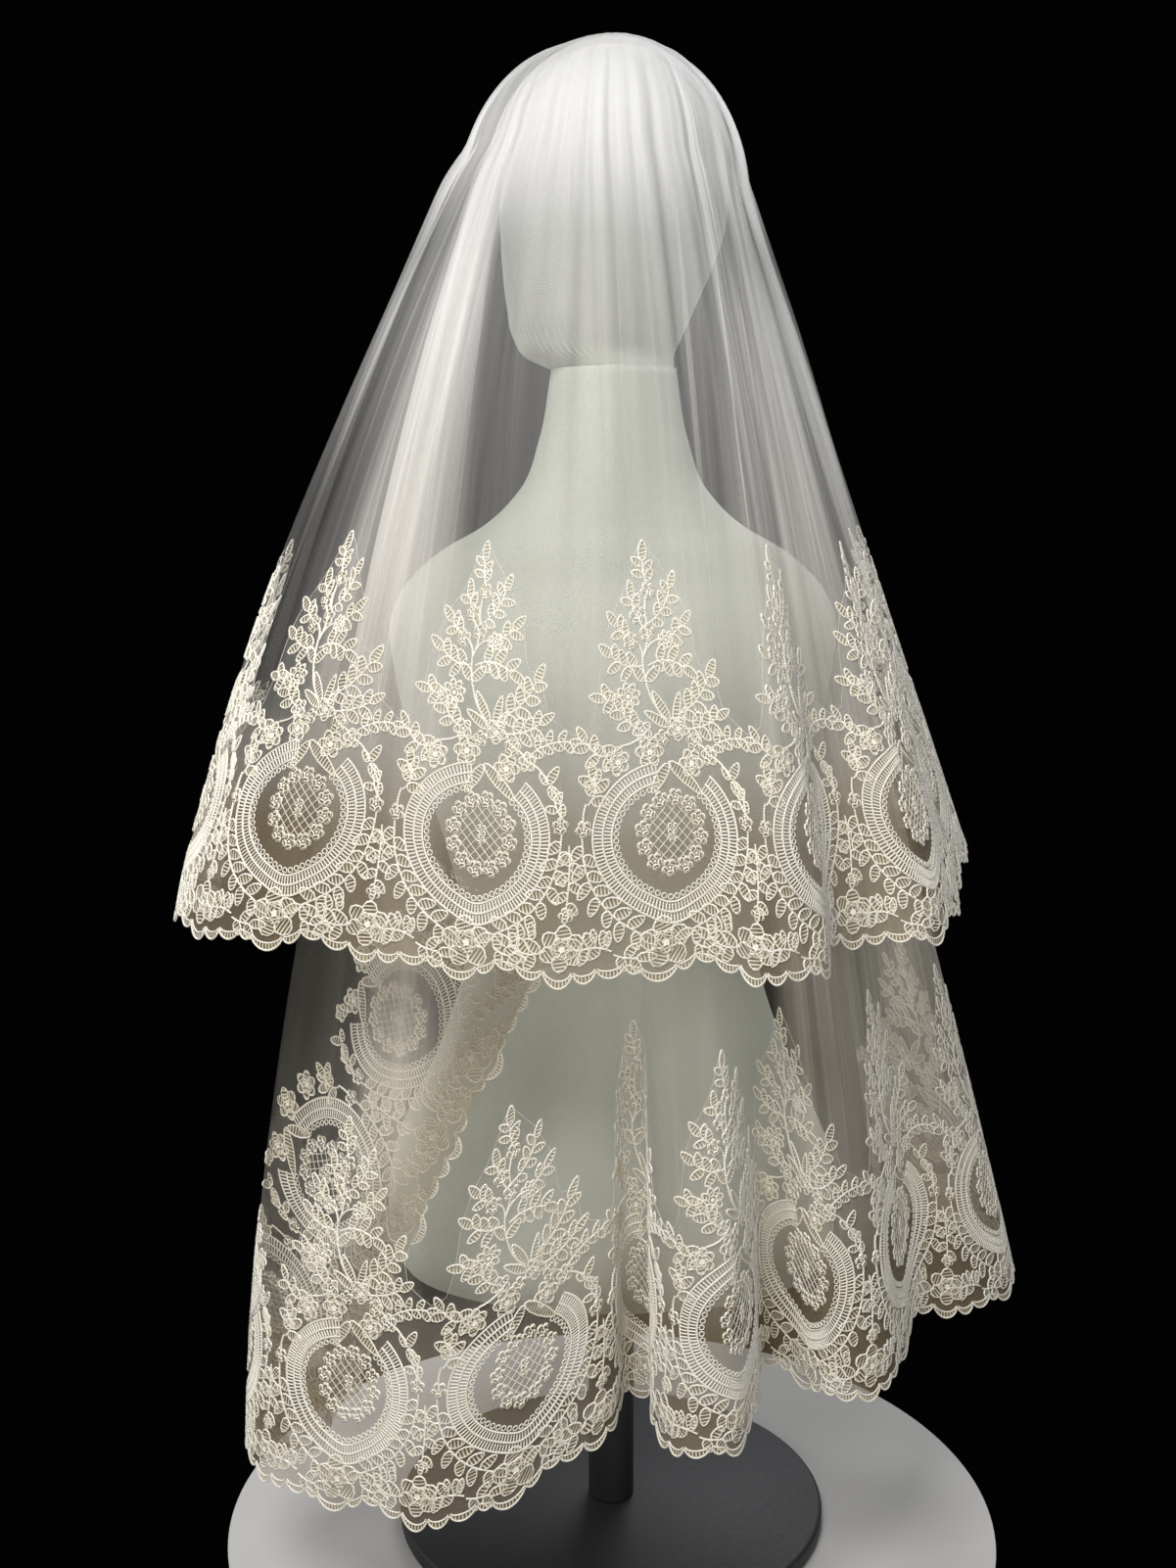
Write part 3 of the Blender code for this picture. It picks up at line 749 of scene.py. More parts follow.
@dataclass
class LaceRepeat:
    """One repeat of the corded lace, flat: x across, y up from the hem, z off the net, in metres."""

    cord: float = 1.15
    ridge: float = 0.85
    leaf_size: float = 1.3
    flower_size: float = 1.12
    ring_width: float = 46.5
    ring_height: float = 45.0
    ring_middle: float = 83.0

    def __post_init__(self) -> None:
        """Starts the empty repeat."""
        self.flat = bmesh.new()
        self.flat.loops.layers.uv.new("flat")
        self.scrap = bpy.data.meshes.new("lace_scrap")

    def add(self, bm: bmesh.types.BMesh, u: float = 0.0, v: float = 0.0, turn: float = 0.0) -> None:
        """Sews a motif in place.

        Args:
            bm: The motif, which is freed.
            u: Its place across.
            v: Its place up.
            turn: How far it is turned, in degrees.
        """
        bm.transform(Matrix.Translation((u, v, 0)) @ Matrix.Rotation(math.radians(turn), 4, "Z"))
        bm.to_mesh(self.scrap)
        bm.free()
        self.flat.from_mesh(self.scrap)

    def leaf(self, u: float, v: float, turn: float, length: float, width: float, sides: int = 10) -> None:
        """A leaf: a cord outline round a stitched filling.

        Args:
            u: Its stalk's place across.
            v: Its stalk's place up.
            turn: The way it points, in degrees.
            length: Its length.
            width: Its width.
            sides: How many points its outline has.
        """
        bm = bmesh.new()
        layer = bm.loops.layers.uv.new("flat")
        made = bmesh.ops.create_circle(bm, cap_ends=True, segments=sides, radius=1.0)
        for vert in made["verts"]:
            x, y = vert.co.x, vert.co.y
            vert.co = (length * (1 + x) / 2, width / 2 * y * (1 - 0.2 * x), 0)
        face = bm.faces[:][0]
        bmesh.ops.inset_region(bm, faces=[face], thickness=self.cord * 0.42, use_boundary=True, use_even_offset=True)
        for vert in face.verts:
            vert.co.z = self.ridge
        bmesh.ops.inset_region(bm, faces=[face], thickness=self.cord * 0.36, use_boundary=True, use_even_offset=True)
        for vert in face.verts:
            vert.co.z = self.ridge * 0.35
        poked = bmesh.ops.poke(bm, faces=[face])
        for vert in poked["verts"]:
            vert.co.z = self.ridge * 0.6
        for fill in poked["faces"]:
            fill.material_index = 1
        for each in bm.faces:
            for loop in each.loops:
                loop[layer].uv = (loop.vert.co.x * 0.001, loop.vert.co.y * 0.001)
        self.add(bm, u, v, turn)

    def petal(self, u: float, v: float, turn: float, length: float, width: float) -> None:
        """A small petal: one raised ring round a sunk middle."""
        bm = bmesh.new()
        layer = bm.loops.layers.uv.new("flat")
        made = bmesh.ops.create_circle(bm, cap_ends=True, segments=7, radius=1.0)
        for vert in made["verts"]:
            vert.co = (length * (1 + vert.co.x) / 2, width / 2 * vert.co.y, 0)
        face = bm.faces[:][0]
        bmesh.ops.inset_region(bm, faces=[face], thickness=self.cord * 0.42, use_boundary=True, use_even_offset=True)
        for vert in face.verts:
            vert.co.z = self.ridge
        poked = bmesh.ops.poke(bm, faces=[face])
        for vert in poked["verts"]:
            vert.co.z = self.ridge * 0.3
        for fill in poked["faces"]:
            fill.material_index = 1
        for each in bm.faces:
            for loop in each.loops:
                loop[layer].uv = (loop.vert.co.x * 0.001, loop.vert.co.y * 0.001)
        self.add(bm, u, v, turn)

    def strip(self, rails: list[np.ndarray], heights: list[float], slot: int, closed: bool = False) -> None:
        """A raised strip between rails.

        Args:
            rails: Rows of points along it, from one side to the other.
            heights: Each rail's height off the net.
            slot: 0 for cord, 1 for stitched filling.
            closed: Whether its ends meet.
        """
        points = np.stack([np.column_stack([rail, np.full(len(rail), h)]) for rail, h in zip(rails, heights)], axis=1)
        middle = rails[len(rails) // 2]
        steps = np.linalg.norm(np.diff(middle, axis=0), axis=1)
        along = np.concatenate([[0], np.cumsum(steps)]) * 0.001
        across = np.linspace(0, 0.001, len(rails))
        spread = np.stack(np.meshgrid(along, across, indexing="ij"), axis=-1)
        bm = laid_grid(points, spread, closed)
        for face in bm.faces:
            face.material_index = slot
        self.add(bm)

    def line(self, points: np.ndarray, width: float | None = None, closed: bool = False) -> None:
        """A couched cord along points."""
        half = (width or self.cord) / 2
        if closed:
            run = np.roll(points[:-1], -1, axis=0) - np.roll(points[:-1], 1, axis=0)
            run = np.vstack([run, run[:1]])
        else:
            run = np.gradient(points, axis=0)
        side = np.column_stack([-run[:, 1], run[:, 0]]) / np.linalg.norm(run, axis=1)[:, None] * half
        self.strip([points - side, points, points + side], [0.0, self.ridge * half / 0.5, 0.0], 0, closed)

    def sprig(self, row: Row) -> None:
        """A stem with leaves in pairs and one at its tip, from a row of the table."""
        u0, v0, u1, v1, bend, leaves, length, tip = row
        points = curve_points((u0, v0), (u1, v1), bend, 9)
        self.line(points)
        run = np.gradient(points, axis=0)
        heading = np.degrees(np.arctan2(run[:, 1], run[:, 0]))
        for k in range(int(leaves)):
            t = (k + 0.9) / (leaves + 0.6) * (len(points) - 1)
            u = np.interp(t, range(len(points)), points[:, 0])
            v = np.interp(t, range(len(points)), points[:, 1])
            turn = np.interp(t, range(len(points)), np.unwrap(heading, period=360))
            side = 1 if k % 2 else -1
            uneven = math.sin(u * 1.7 + v * 2.3)
            size = length * self.leaf_size
            self.leaf(u, v, turn + side * (52 + 7 * uneven), size * (1 + 0.08 * uneven), size * 0.62, 10)
        self.leaf(points[-1, 0], points[-1, 1], heading[-1], tip * self.leaf_size, tip * 0.66)

    def flower(self, u: float, v: float, radius: float, petals: int, double: bool) -> None:
        """A flower of round petals about a knot.

        Args:
            u: Its middle across.
            v: Its middle up.
            radius: Its radius.
            petals: How many petals.
            double: Whether it has an inner row of petals.
        """
        radius *= self.flower_size
        start = (u * 37 + v * 11) % 72
        for k in range(petals):
            turn = start + 360 * k / petals
            inner = radius * 0.24
            width = min(2 * radius * 0.72 * math.sin(math.pi / petals) * 1.05, radius * 0.85)
            c, s = math.cos(math.radians(turn)), math.sin(math.radians(turn))
            if radius > 6:
                self.leaf(u + inner * c, v + inner * s, turn, radius * 0.78, width, 8)
            else:
                self.petal(u + inner * c, v + inner * s, turn, radius * 0.78, width)
            if double:
                turn += 180 / petals
                c, s = math.cos(math.radians(turn)), math.sin(math.radians(turn))
                self.petal(u + c, v + s, turn, radius * 0.44, width * 0.6)
        bm = bmesh.new()
        made = bmesh.ops.create_circle(bm, cap_ends=True, segments=6, radius=radius * 0.16)
        poked = bmesh.ops.poke(bm, faces=list({f for vert in made["verts"] for f in vert.link_faces}))
        for vert in poked["verts"]:
            vert.co.z = self.ridge * 1.2
        self.add(bm, u, v)

    def ring(self, inward: float, start: float, end: float, count: int) -> np.ndarray:
        """Points on the medallion's egg shape.

        Args:
            inward: How far inside its outer edge.
            start: The angle it starts at, in degrees clockwise from the top.
            end: The angle it ends at.
            count: How many points.

        Returns:
            The points.
        """
        turn = np.radians(np.linspace(start, end, count))
        lean = 1 + 0.09 * np.cos(turn) - 0.03 * np.sin(turn)
        u = (self.ring_width - inward) * np.sin(turn) * lean
        v = self.ring_middle + (self.ring_height - inward) * np.cos(turn)
        v -= 3.4 * np.exp(-(((turn - math.pi) / 0.3) ** 2)) * (self.ring_height - inward) / self.ring_height
        return np.column_stack([u, v])

    def medallion(self) -> None:
        """The oval frame: two stitched bands between cords, small loops, a wreath and a lattice."""
        start, end = 36.0, 352.0
        for inward in (0.0, 6.0, 11.4):
            self.line(self.ring(inward, start, end, 90), 1.2)
        for outer, inner, count in ((0.6, 5.4, 112), (6.6, 10.8, 100)):
            for a, b in zip(self.ring(outer, start + 1, end - 1, count), self.ring(inner, start + 1, end - 1, count)):
                self.line(np.array([a, (a + b) / 2, b]), 0.95)
        for spot in self.ring(14.2, start + 2, end - 4, 42):
            turn = np.linspace(0, 2 * math.pi, 9)
            loop = spot + 1.55 * np.column_stack([np.cos(turn), np.sin(turn)])
            self.line(loop, 0.75, True)
        middle = np.array([1.8, 87.0])
        for k in range(12):
            turn = math.radians(30 * k + 8)
            spot = middle + np.array([18.6 * math.sin(turn), 20.4 * math.cos(turn)])
            self.flower(spot[0], spot[1], 4.8, 5, False)
        for lean in (-1, 1):
            for k in range(-3, 4):
                reach = math.sqrt(max(1 - (k * 4.4 / 16.5) ** 2, 0)) * 16.0
                off = np.array([k * 4.4, -lean * k * 4.4]) / math.sqrt(2)
                way = np.array([1.0, lean * 1.05]) / math.sqrt(2)
                ends = [middle + off - way * reach, middle + off + way * reach]
                self.line(np.linspace(ends[0], ends[1], 6), 0.5)
        self.flower(middle[0], middle[1] + 2.4, 3.4, 4, False)
        self.flower(middle[0], middle[1] - 2.8, 3.0, 4, False)

    def scallops(self) -> None:
        """The hem: two cords with stitched crescents between them."""
        table = np.array(SCALLOPS)
        for k in range(len(table) - 1):
            u = np.linspace(table[k, 0], table[k + 1, 0] - 0.01, 11)
            share = np.linspace(0, 1, 11)
            outer = np.column_stack([u, hem_line(u)])
            swell = 0.8 + 3.6 * np.sin(math.pi * share) ** 0.7
            inner = outer + np.column_stack([0 * u, swell])
            inner[:, 0] = inner[:, 0].mean() + (inner[:, 0] - inner[:, 0].mean()) * 0.94
            self.line(outer, 1.3)
            self.line(inner, 1.0)
            self.strip([outer, (outer + inner) / 2, inner], [0.2, self.ridge * 0.7, 0.2], 1)

    def border(self) -> None:
        """The lower part: hem, medallion, and what lies beside them."""
        self.scallops()
        self.medallion()

    def make(self, tall: bool) -> bpy.types.Mesh:
        """The repeat as a mesh in metres.

        Args:
            tall: Whether the tree above the medallion is sewn too.

        Returns:
            The mesh, flat.
        """
        self.border()
        limit = 300.0 if tall else 128.0
        for row in SPRIGS:
            if max(row[1], row[3]) < limit:
                self.sprig(row)
        for u, v, turn, length, width in LEAVES:
            if v < limit + 2:
                self.leaf(u, v, turn, length, width, 12)
        for u, v, radius, petals, double in FLOWERS:
            if v < limit + 8:
                self.flower(u, v, radius, int(petals), bool(double))
        for u0, v0, u1, v1, bend in STEMS:
            if max(v0, v1) < limit:
                self.line(curve_points((u0, v0), (u1, v1), bend, 8), 1.3)
        if tall:
            trim = np.array(TRIM_LINE)
            u = np.linspace(-60, 60, 49)
            self.line(np.column_stack([u, np.interp(u, trim[:, 0], trim[:, 1])]), 0.25)
        bmesh.ops.scale(self.flat, vec=(0.001, 0.001, 0.001), verts=self.flat.verts)
        mesh = bpy.data.meshes.new("lace_repeat")
        self.flat.to_mesh(mesh)
        self.flat.free()
        bpy.data.meshes.remove(self.scrap)
        return mesh


@dataclass
class Tier:
    """One tier of the veil: a gathered sheet of net with its lace border."""

    name: str
    folds: tuple[Row, ...]
    crown_share: float
    repeat: float
    phase: float
    columns: int
    rows: int
    seed: float
    flat_length: float
    heading_width: float
    bands: tuple[Row, ...]
    crease: float
    bare_until: float
    corner: tuple[Point, ...] = ()

    def __post_init__(self) -> None:
        """Works out the hem, the cut edge and the draped surface."""
        self.table = np.array(self.folds)
        plan = self.table[:, 2:4]
        fine = np.linspace(0, len(plan) - 1, 60 * len(plan))
        curve = interpolated(plan, np.arange(len(plan), dtype=float), fine)
        steps = np.linalg.norm(np.diff(curve, axis=0), axis=1)
        self.places = np.interp(np.arange(len(plan)), fine, np.concatenate([[0], np.cumsum(steps)]))
        self.width = float(self.places[-1])
        self.along = np.linspace(0, self.width, self.columns + 1)
        self.points, self.length = self.drape(self.along)
        self.edge()

    def drape(self, along: np.ndarray) -> tuple[np.ndarray, np.ndarray]:
        """Points down the cloth from the heading to the hem.

        Args:
            along: Places along the hem.

        Returns:
            The points, and the cloth's length down to each of them.
        """
        turn, off, x, y, z, flare = interpolated(self.table, self.places, along).T[:, :, None]
        turn = np.radians(turn)
        q = np.linspace(0, 1, SAMPLES)[None, :]
        over = np.minimum(q / DOME_SHARE, 1) * math.pi / 2
        half_width = HEAD_HALF_WIDTH + off
        half_depth = HEAD_HALF_DEPTH + off
        start = (1 - np.sin(over)) ** 2
        start_x = GATHER_HALF_LENGTH * turn / math.radians(GATHER_END_TURN)
        dome_x = np.sin(turn) * half_width * np.sin(over) + start * start_x
        dome_y = start * (GATHER_Y - HEAD_MIDDLE_Y) - np.cos(turn) * half_depth * np.sin(over)
        from_middle = (dome_x / half_width) ** 2 + (dome_y / half_depth) ** 2
        rise = (HEAD_RISE + off * self.crown_share) * np.sqrt(np.clip(1 - from_middle, 0, 1))
        fall = np.clip((q - DOME_SHARE) / (1 - DOME_SHARE), 0, 1)
        level = HEAD_MIDDLE_Z + rise - (HEAD_MIDDLE_Z - z) * fall
        flare_start = FLARE_START_Z - RIGHT_FLARE_DROP * np.clip(np.sin(turn), 0, 1)
        share = np.clip((flare_start - level) / (flare_start - z), 0, 1)
        hang = 1 - (1 - share) ** flare
        reach_x = dome_x + (x - np.sin(turn) * half_width) * hang
        reach_y = HEAD_MIDDLE_Y + dome_y + (y - HEAD_MIDDLE_Y + np.cos(turn) * half_depth) * hang
        wave = np.sin(2 * math.pi * along / GATHER_PITCH)[:, None]
        below = np.clip((GATHER_START_Z - level) / (GATHER_START_Z - GATHER_FULL_Z), 0, 1)
        fading = np.clip((level - GATHER_FADE_Z) / GATHER_FADE_HEIGHT, 0, 1)
        depth = GATHER_DEPTH * below * fading
        points = np.stack(
            [reach_x + np.sin(turn) * wave * depth, reach_y - np.cos(turn) * wave * depth, level + 0 * reach_x],
            axis=-1,
        )
        points = points + grid_normals(points[:, ::-1])[:, ::-1] * self.creases(along, level, over)[..., None]
        steps = np.linalg.norm(np.diff(points, axis=1), axis=2)
        length = np.concatenate([np.zeros((len(along), 1)), np.cumsum(steps, axis=1)], axis=1)
        return points, length

    def creases(self, along: np.ndarray, level: np.ndarray, over: np.ndarray) -> np.ndarray:
        """How far the fine gathers stand off the drape.

        Args:
            along: Places along the hem.
            level: The height of each point.
            over: How far down the crown each sample is.

        Returns:
            The distance at each point.
        """
        drift = 0.0035 * np.sin(9.0 * level + 40.0 * along[:, None] + self.seed)
        place = along[:, None] + drift
        crown = np.sin(over) ** 1.5
        total = 0 * level
        for pitch, depth, low, tall in ((0.061, 0.0028, 0.46, 0.22), (0.034, 0.0016, 0.52, 0.20), (0.0175, 0.0005, 0.60, 0.15)):
            beat = 0.6 + 0.4 * np.sin(place * 37.0 / (pitch * 60) + self.seed * 3)
            fading = np.clip((level - low) / tall, 0, 1)
            total = total + depth * beat * fading * np.sin(2 * math.pi * place / pitch + self.seed)
        return total * self.crease * crown * np.clip((1.03 - level) / 0.12, 0.25, 1.0)

    def edge(self) -> None:
        """The sheet's lower edge in its flat plane, with the way into the cloth at each place."""
        if self.corner:
            cut = np.array(self.corner)
            run = interpolated(cut, np.arange(len(cut), dtype=float), np.linspace(0, len(cut) - 1.001, 120))
            run = np.vstack([run, np.column_stack([np.arange(run[-1, 0] + 0.004, self.width + 0.05, 0.004)] * 2)])
            run[120:, 1] = 0.0
        else:
            run = np.column_stack([np.linspace(-0.06, self.width + 0.06, 300), np.zeros(300)])
        steps = np.linalg.norm(np.diff(run, axis=0), axis=1)
        self.edge_at = np.concatenate([[0], np.cumsum(steps)])
        if not self.corner:
            self.edge_at = self.edge_at - 0.06
        self.edge_run = run
        way = np.gradient(run, axis=0)
        for _ in range(60 if self.corner else 0):
            way[1:-1] = (way[:-2] + way[1:-1] * 2 + way[2:]) / 4
        way = way / np.linalg.norm(way, axis=1)[:, None]
        self.edge_way = np.column_stack([-way[:, 1], way[:, 0]])

    def flat_place(self, t: np.ndarray, v: np.ndarray) -> tuple[np.ndarray, np.ndarray]:
        """The hem place and height above the hem of a point of the lace.

        Args:
            t: Distance along the cut edge.
            v: Distance in from it.

        Returns:
            The place along the hem and the height above it.
        """
        s = np.interp(t, self.edge_at, self.edge_run[:, 0]) + v * np.interp(t, self.edge_at, self.edge_way[:, 0])
        h = np.interp(t, self.edge_at, self.edge_run[:, 1]) + v * np.interp(t, self.edge_at, self.edge_way[:, 1])
        return s, h

    def surface(self) -> tuple[np.ndarray, np.ndarray, float]:
        """The draped surface by place along the hem and height above it.

        Returns:
            The points, their normals and the step in height.
        """
        step = 0.002
        count = 345
        heights = np.arange(-5, count) * step
        found = np.empty((len(self.along), len(heights), 3))
        for i in range(len(self.along)):
            whole = self.length[i, -1]
            at = whole - heights
            inside = np.minimum(at, whole)
            for axis in range(3):
                found[i, :, axis] = np.interp(inside, self.length[i], self.points[i, :, axis])
            down = (self.points[i, -1] - self.points[i, -4]) / (whole - self.length[i, -4])
            found[i] += np.maximum(at - whole, 0)[:, None] * down
        return found, grid_normals(found), step

    def edge_height(self) -> np.ndarray:
        """The net's lower edge at each column, as a height above the hem."""
        t = np.interp(self.along, self.edge_run[:, 0], self.edge_at)
        scallop = hem_line((t - self.phase) / self.repeat * 120.0) * 0.001
        rise = np.interp(self.along, self.edge_run[:, 0], self.edge_run[:, 1])
        slant = np.interp(self.along, self.edge_run[:, 0], self.edge_way[:, 1])
        return rise + np.where(slant > 0.97, scallop + 0.0004, 0.008 / np.maximum(slant, 0.3))

    def net(self, finish: bpy.types.Material) -> bpy.types.Object:
        """The sheet of net.

        Args:
            finish: Its material.

        Returns:
            The piece, declared as a sheet.
        """
        low = self.edge_height()
        grid = np.empty((self.columns + 1, self.rows + 1, 3))
        spread = np.empty((self.columns + 1, self.rows + 1, 2))
        share = np.linspace(0, 1, self.rows + 1)
        for i in range(self.columns + 1):
            whole = self.length[i, -1]
            height = low[i] + (whole - low[i]) * share
            for axis in range(3):
                grid[i, :, axis] = np.interp(whole - height, self.length[i], self.points[i, :, axis])
            spread[i, :, 0] = self.along[i]
            spread[i, :, 1] = height
        bm = laid_grid(grid, spread)
        obj = finished(self.name, bm, finish)
        self.fullness(obj, grid, spread)
        return obj

    def fullness(self, obj: bpy.types.Object, grid: np.ndarray, spread: np.ndarray) -> None:
        """Writes how much of the light the net stops, more where it is gathered or doubled by the lace's own net, and
        marks the lace zone for its painted shade.

        Args:
            obj: The net.
            grid: Its points.
            spread: Its flat places.
        """
        table = np.array(self.bands)
        s, level = spread[:, :, 0], grid[:, :, 2]
        base = np.zeros(s.shape)
        shares = [np.interp(s, table[:, 0], table[:, 1 + k]) for k in range(len(BAND_LEVELS))]
        for k, (low, high) in enumerate(zip(BAND_LEVELS, BAND_LEVELS[1:])):
            part = np.clip((level - low) / (high - low), 0, 1)
            base += (shares[k + 1] - shares[k]) * part * part * (3 - 2 * part)
        base += shares[0]
        streak = np.zeros(s.shape)
        for pitch, sway, weight in ((0.0313, 0.004, 0.55), (0.0187, 0.003, 0.45), (0.0113, 0.002, 0.35)):
            place = s / pitch + sway / pitch * np.sin(7 * level + 60 * s + self.seed) + self.seed
            ridge = np.abs((place % 1) - 0.5) * 2 * pitch / 0.0018
            wide = np.sin(2 * math.pi * place * 0.5 + self.seed)
            streak += weight * (0.9 * np.exp(-(ridge**2)) * np.clip(level / 0.4, 0.2, 1.0) + 0.35 * wide)
        t = np.interp(s, self.edge_run[:, 0], self.edge_at)
        u = ((t - self.phase) / self.repeat * 120.0 + 60.0) % 120.0 - 60.0
        trim = np.array(TRIM_LINE)
        rise = np.interp(s, self.edge_run[:, 0], self.edge_run[:, 1])
        height = spread[:, :, 1] - rise
        doubled = height < np.interp(u, trim[:, 0], trim[:, 1]) * 0.001
        laced = np.clip((0.150 - height) / 0.07, 0, 1)
        stopped = np.clip(base * (1 + 0.6 * streak * np.clip((0.97 - level) / 0.14, 0.12, 1)), 0.015, 0.97)
        stopped = 1 - (1 - stopped) * (1 - 0.30 * laced) * (1 - 0.05 * doubled)
        # The first attribute is how much light the net stops; the second marks the lace zone, where the net's colour
        # turns to painted shade
        for name, amounts in (("cover", stopped), ("ground_shade", laced)):
            layer = obj.data.attributes.new(name, "FLOAT", "POINT")
            layer.data.foreach_set("value", np.ascontiguousarray(amounts.T).ravel().astype(np.float32))

    def lace(self, tall: bpy.types.Mesh, short: bpy.types.Mesh, wardrobe: Wardrobe, halves: int) -> list[bpy.types.Object]:
        """The lace border, as one or more pieces.

        Args:
            tall: The repeat with its tree.
            short: The repeat without it, for the tight corner.
            wardrobe: The finishes.
            halves: How many pieces it is made in.

        Returns:
            The pieces.
        """
        points, normals, step = self.surface()
        end = float(np.interp(self.width, self.edge_run[:, 0], self.edge_at))
        first = math.floor((0 - self.phase) / self.repeat)
        last = math.ceil((end - self.phase) / self.repeat)
        groups = np.array_split(np.arange(first, last + 1), halves)
        made = []
        for number, group in enumerate(groups):
            bm = bmesh.new()
            for k in group:
                middle = self.phase + k * self.repeat
                source = short if middle < self.bare_until else tall
                start = len(bm.verts)
                bm.from_mesh(source)
                fresh = bm.verts[:][start:]
                bmesh.ops.scale(bm, vec=(self.repeat / REPEAT, 1, 1), verts=fresh)
                bmesh.ops.translate(bm, vec=(middle, 0, 0), verts=fresh)
            for place, way in ((0.0005, -1), (end - 0.0005, 1)):
                bmesh.ops.bisect_plane(
                    bm,
                    geom=bm.verts[:] + bm.edges[:] + bm.faces[:],
                    plane_co=(place, 0, 0),
                    plane_no=(way, 0, 0),
                    clear_outer=True,
                )
            name = self.name.replace("net", "lace") + ("" if halves == 1 else "_" + "abc"[number])
            obj = finished(name, bm, wardrobe.cord, wardrobe.fill)
            self.wrap(obj, points, normals, step)
            made.append(obj)
        return made

    def wrap(self, obj: bpy.types.Object, points: np.ndarray, normals: np.ndarray, step: float) -> None:
        """Lays flat lace on the draped net.

        Args:
            obj: The flat piece.
            points: The net's surface.
            normals: Its normals.
            step: The surface's step in height.
        """
        count = len(obj.data.vertices)
        flat = np.empty(count * 3)
        obj.data.vertices.foreach_get("co", flat)
        flat = flat.reshape(-1, 3)
        s, h = self.flat_place(flat[:, 0], flat[:, 1])
        i = np.clip(s / self.width * self.columns, 0, self.columns - 1e-6)
        j = np.clip(h / step + 5, 0, points.shape[1] - 1.001)
        i0, j0 = i.astype(int), j.astype(int)
        a, b = (i - i0)[:, None], (j - j0)[:, None]
        laid = np.zeros((count, 3))
        off = np.zeros((count, 3))
        for di, dj, part in ((0, 0, (1 - a) * (1 - b)), (1, 0, a * (1 - b)), (0, 1, (1 - a) * b), (1, 1, a * b)):
            laid += points[i0 + di, j0 + dj] * part
            off += normals[i0 + di, j0 + dj] * part
        off /= np.linalg.norm(off, axis=1)[:, None]
        laid += off * (flat[:, 2:3] + 0.00025)
        obj.data.vertices.foreach_set("co", laid.ravel().astype(np.float32))
        obj.data.update()


@dataclass
class DressForm:
    """The covered head and body that the veil rests on."""

    sides: int = 320
    head_rings: int = 90
    torso_rings: int = 150
    dome_steps: int = 8
    inset: float = 0.0006

    def body(self, name: str, sections: list[Row], rings: int, finish: bpy.types.Material) -> bpy.types.Object:
        """A smooth closed body through oval sections.

        Args:
            name: The piece's name.
            sections: Height, half width, half depth and middle of each section.
            rings: How many rings it is built of.
            finish: Its material.

        Returns:
            The piece.
        """
        table = np.array(sections)
        heights = table[:, 0]
        at = np.interp(np.linspace(0, 1, rings), np.linspace(0, 1, len(heights)), heights)
        rows = interpolated(table, heights, at)
        angle = np.linspace(0, 2 * math.pi, self.sides + 1)[:, None]
        x = rows[:, 4] + np.cos(angle) * (rows[:, 1] - self.inset)
        y = rows[:, 3] + np.sin(angle) * (rows[:, 2] - self.inset)
        z = np.broadcast_to(rows[:, 0], x.shape).copy()
        near_seam = np.exp(-(((z - 0.812) / 0.016) ** 2)) * (z > 0.7985)
        left = np.clip((-x - 0.004) / 0.03, 0, 1)
        pull = 1 - 0.022 * near_seam * left * (0.5 + 0.5 * np.sin(angle * 64 + (z - 0.8) * 130))
        x, y = x * pull, rows[:, 3] + (y - rows[:, 3]) * pull
        bm = laid_grid(np.stack([x, y, z], axis=-1), wrapped=True)
        rims = [edge for edge in bm.edges if edge.is_boundary]
        bmesh.ops.holes_fill(bm, edges=rims, sides=0)
        bmesh.ops.recalc_face_normals(bm, faces=bm.faces)
        obj = finished(name, bm, finish)
        return obj

    def head_sections(self) -> list[Row]:
        """The jaw's sections and those of the round dome above it."""
        rows = list(JAW_SECTIONS)
        for k in range(self.dome_steps + 1):
            lean = math.pi / 2 * (1 - k / (self.dome_steps + 0.02))
            rows.append(
                (
                    HEAD_MIDDLE_Z + HEAD_RISE * math.cos(lean),
                    HEAD_HALF_WIDTH * math.sin(lean),
                    HEAD_HALF_DEPTH * math.sin(lean),
                    HEAD_MIDDLE_Y,
                    0.0,
                )
            )
        return rows

    def build(self, wardrobe: Wardrobe) -> None:
        """The head, the body and the piping in the neck seam."""
        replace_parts(self.body("head_cover", self.head_sections(), self.head_rings, wardrobe.cover), "form_head")
        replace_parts(self.body("torso_cover", list(TORSO_SECTIONS), self.torso_rings, wardrobe.cover), "form_torso")
        turn = np.linspace(0, 2 * math.pi, 97)[:, None]
        round_it = np.linspace(0, 2 * math.pi, 9)[None, :]
        reach = np.cos(round_it) * 0.0009
        points = np.stack(
            [
                np.cos(turn) * (0.0404 + reach),
                0.001 + np.sin(turn) * (0.0510 + reach),
                0.7972 + np.sin(round_it) * 0.0009 + 0.004 * np.minimum(np.cos(turn), 0),
            ],
            axis=-1,
        )
        bm = laid_grid(points, wrapped=True)
        bmesh.ops.recalc_face_normals(bm, faces=bm.faces)
        finished("neck_seam_piping", bm, wardrobe.cover)


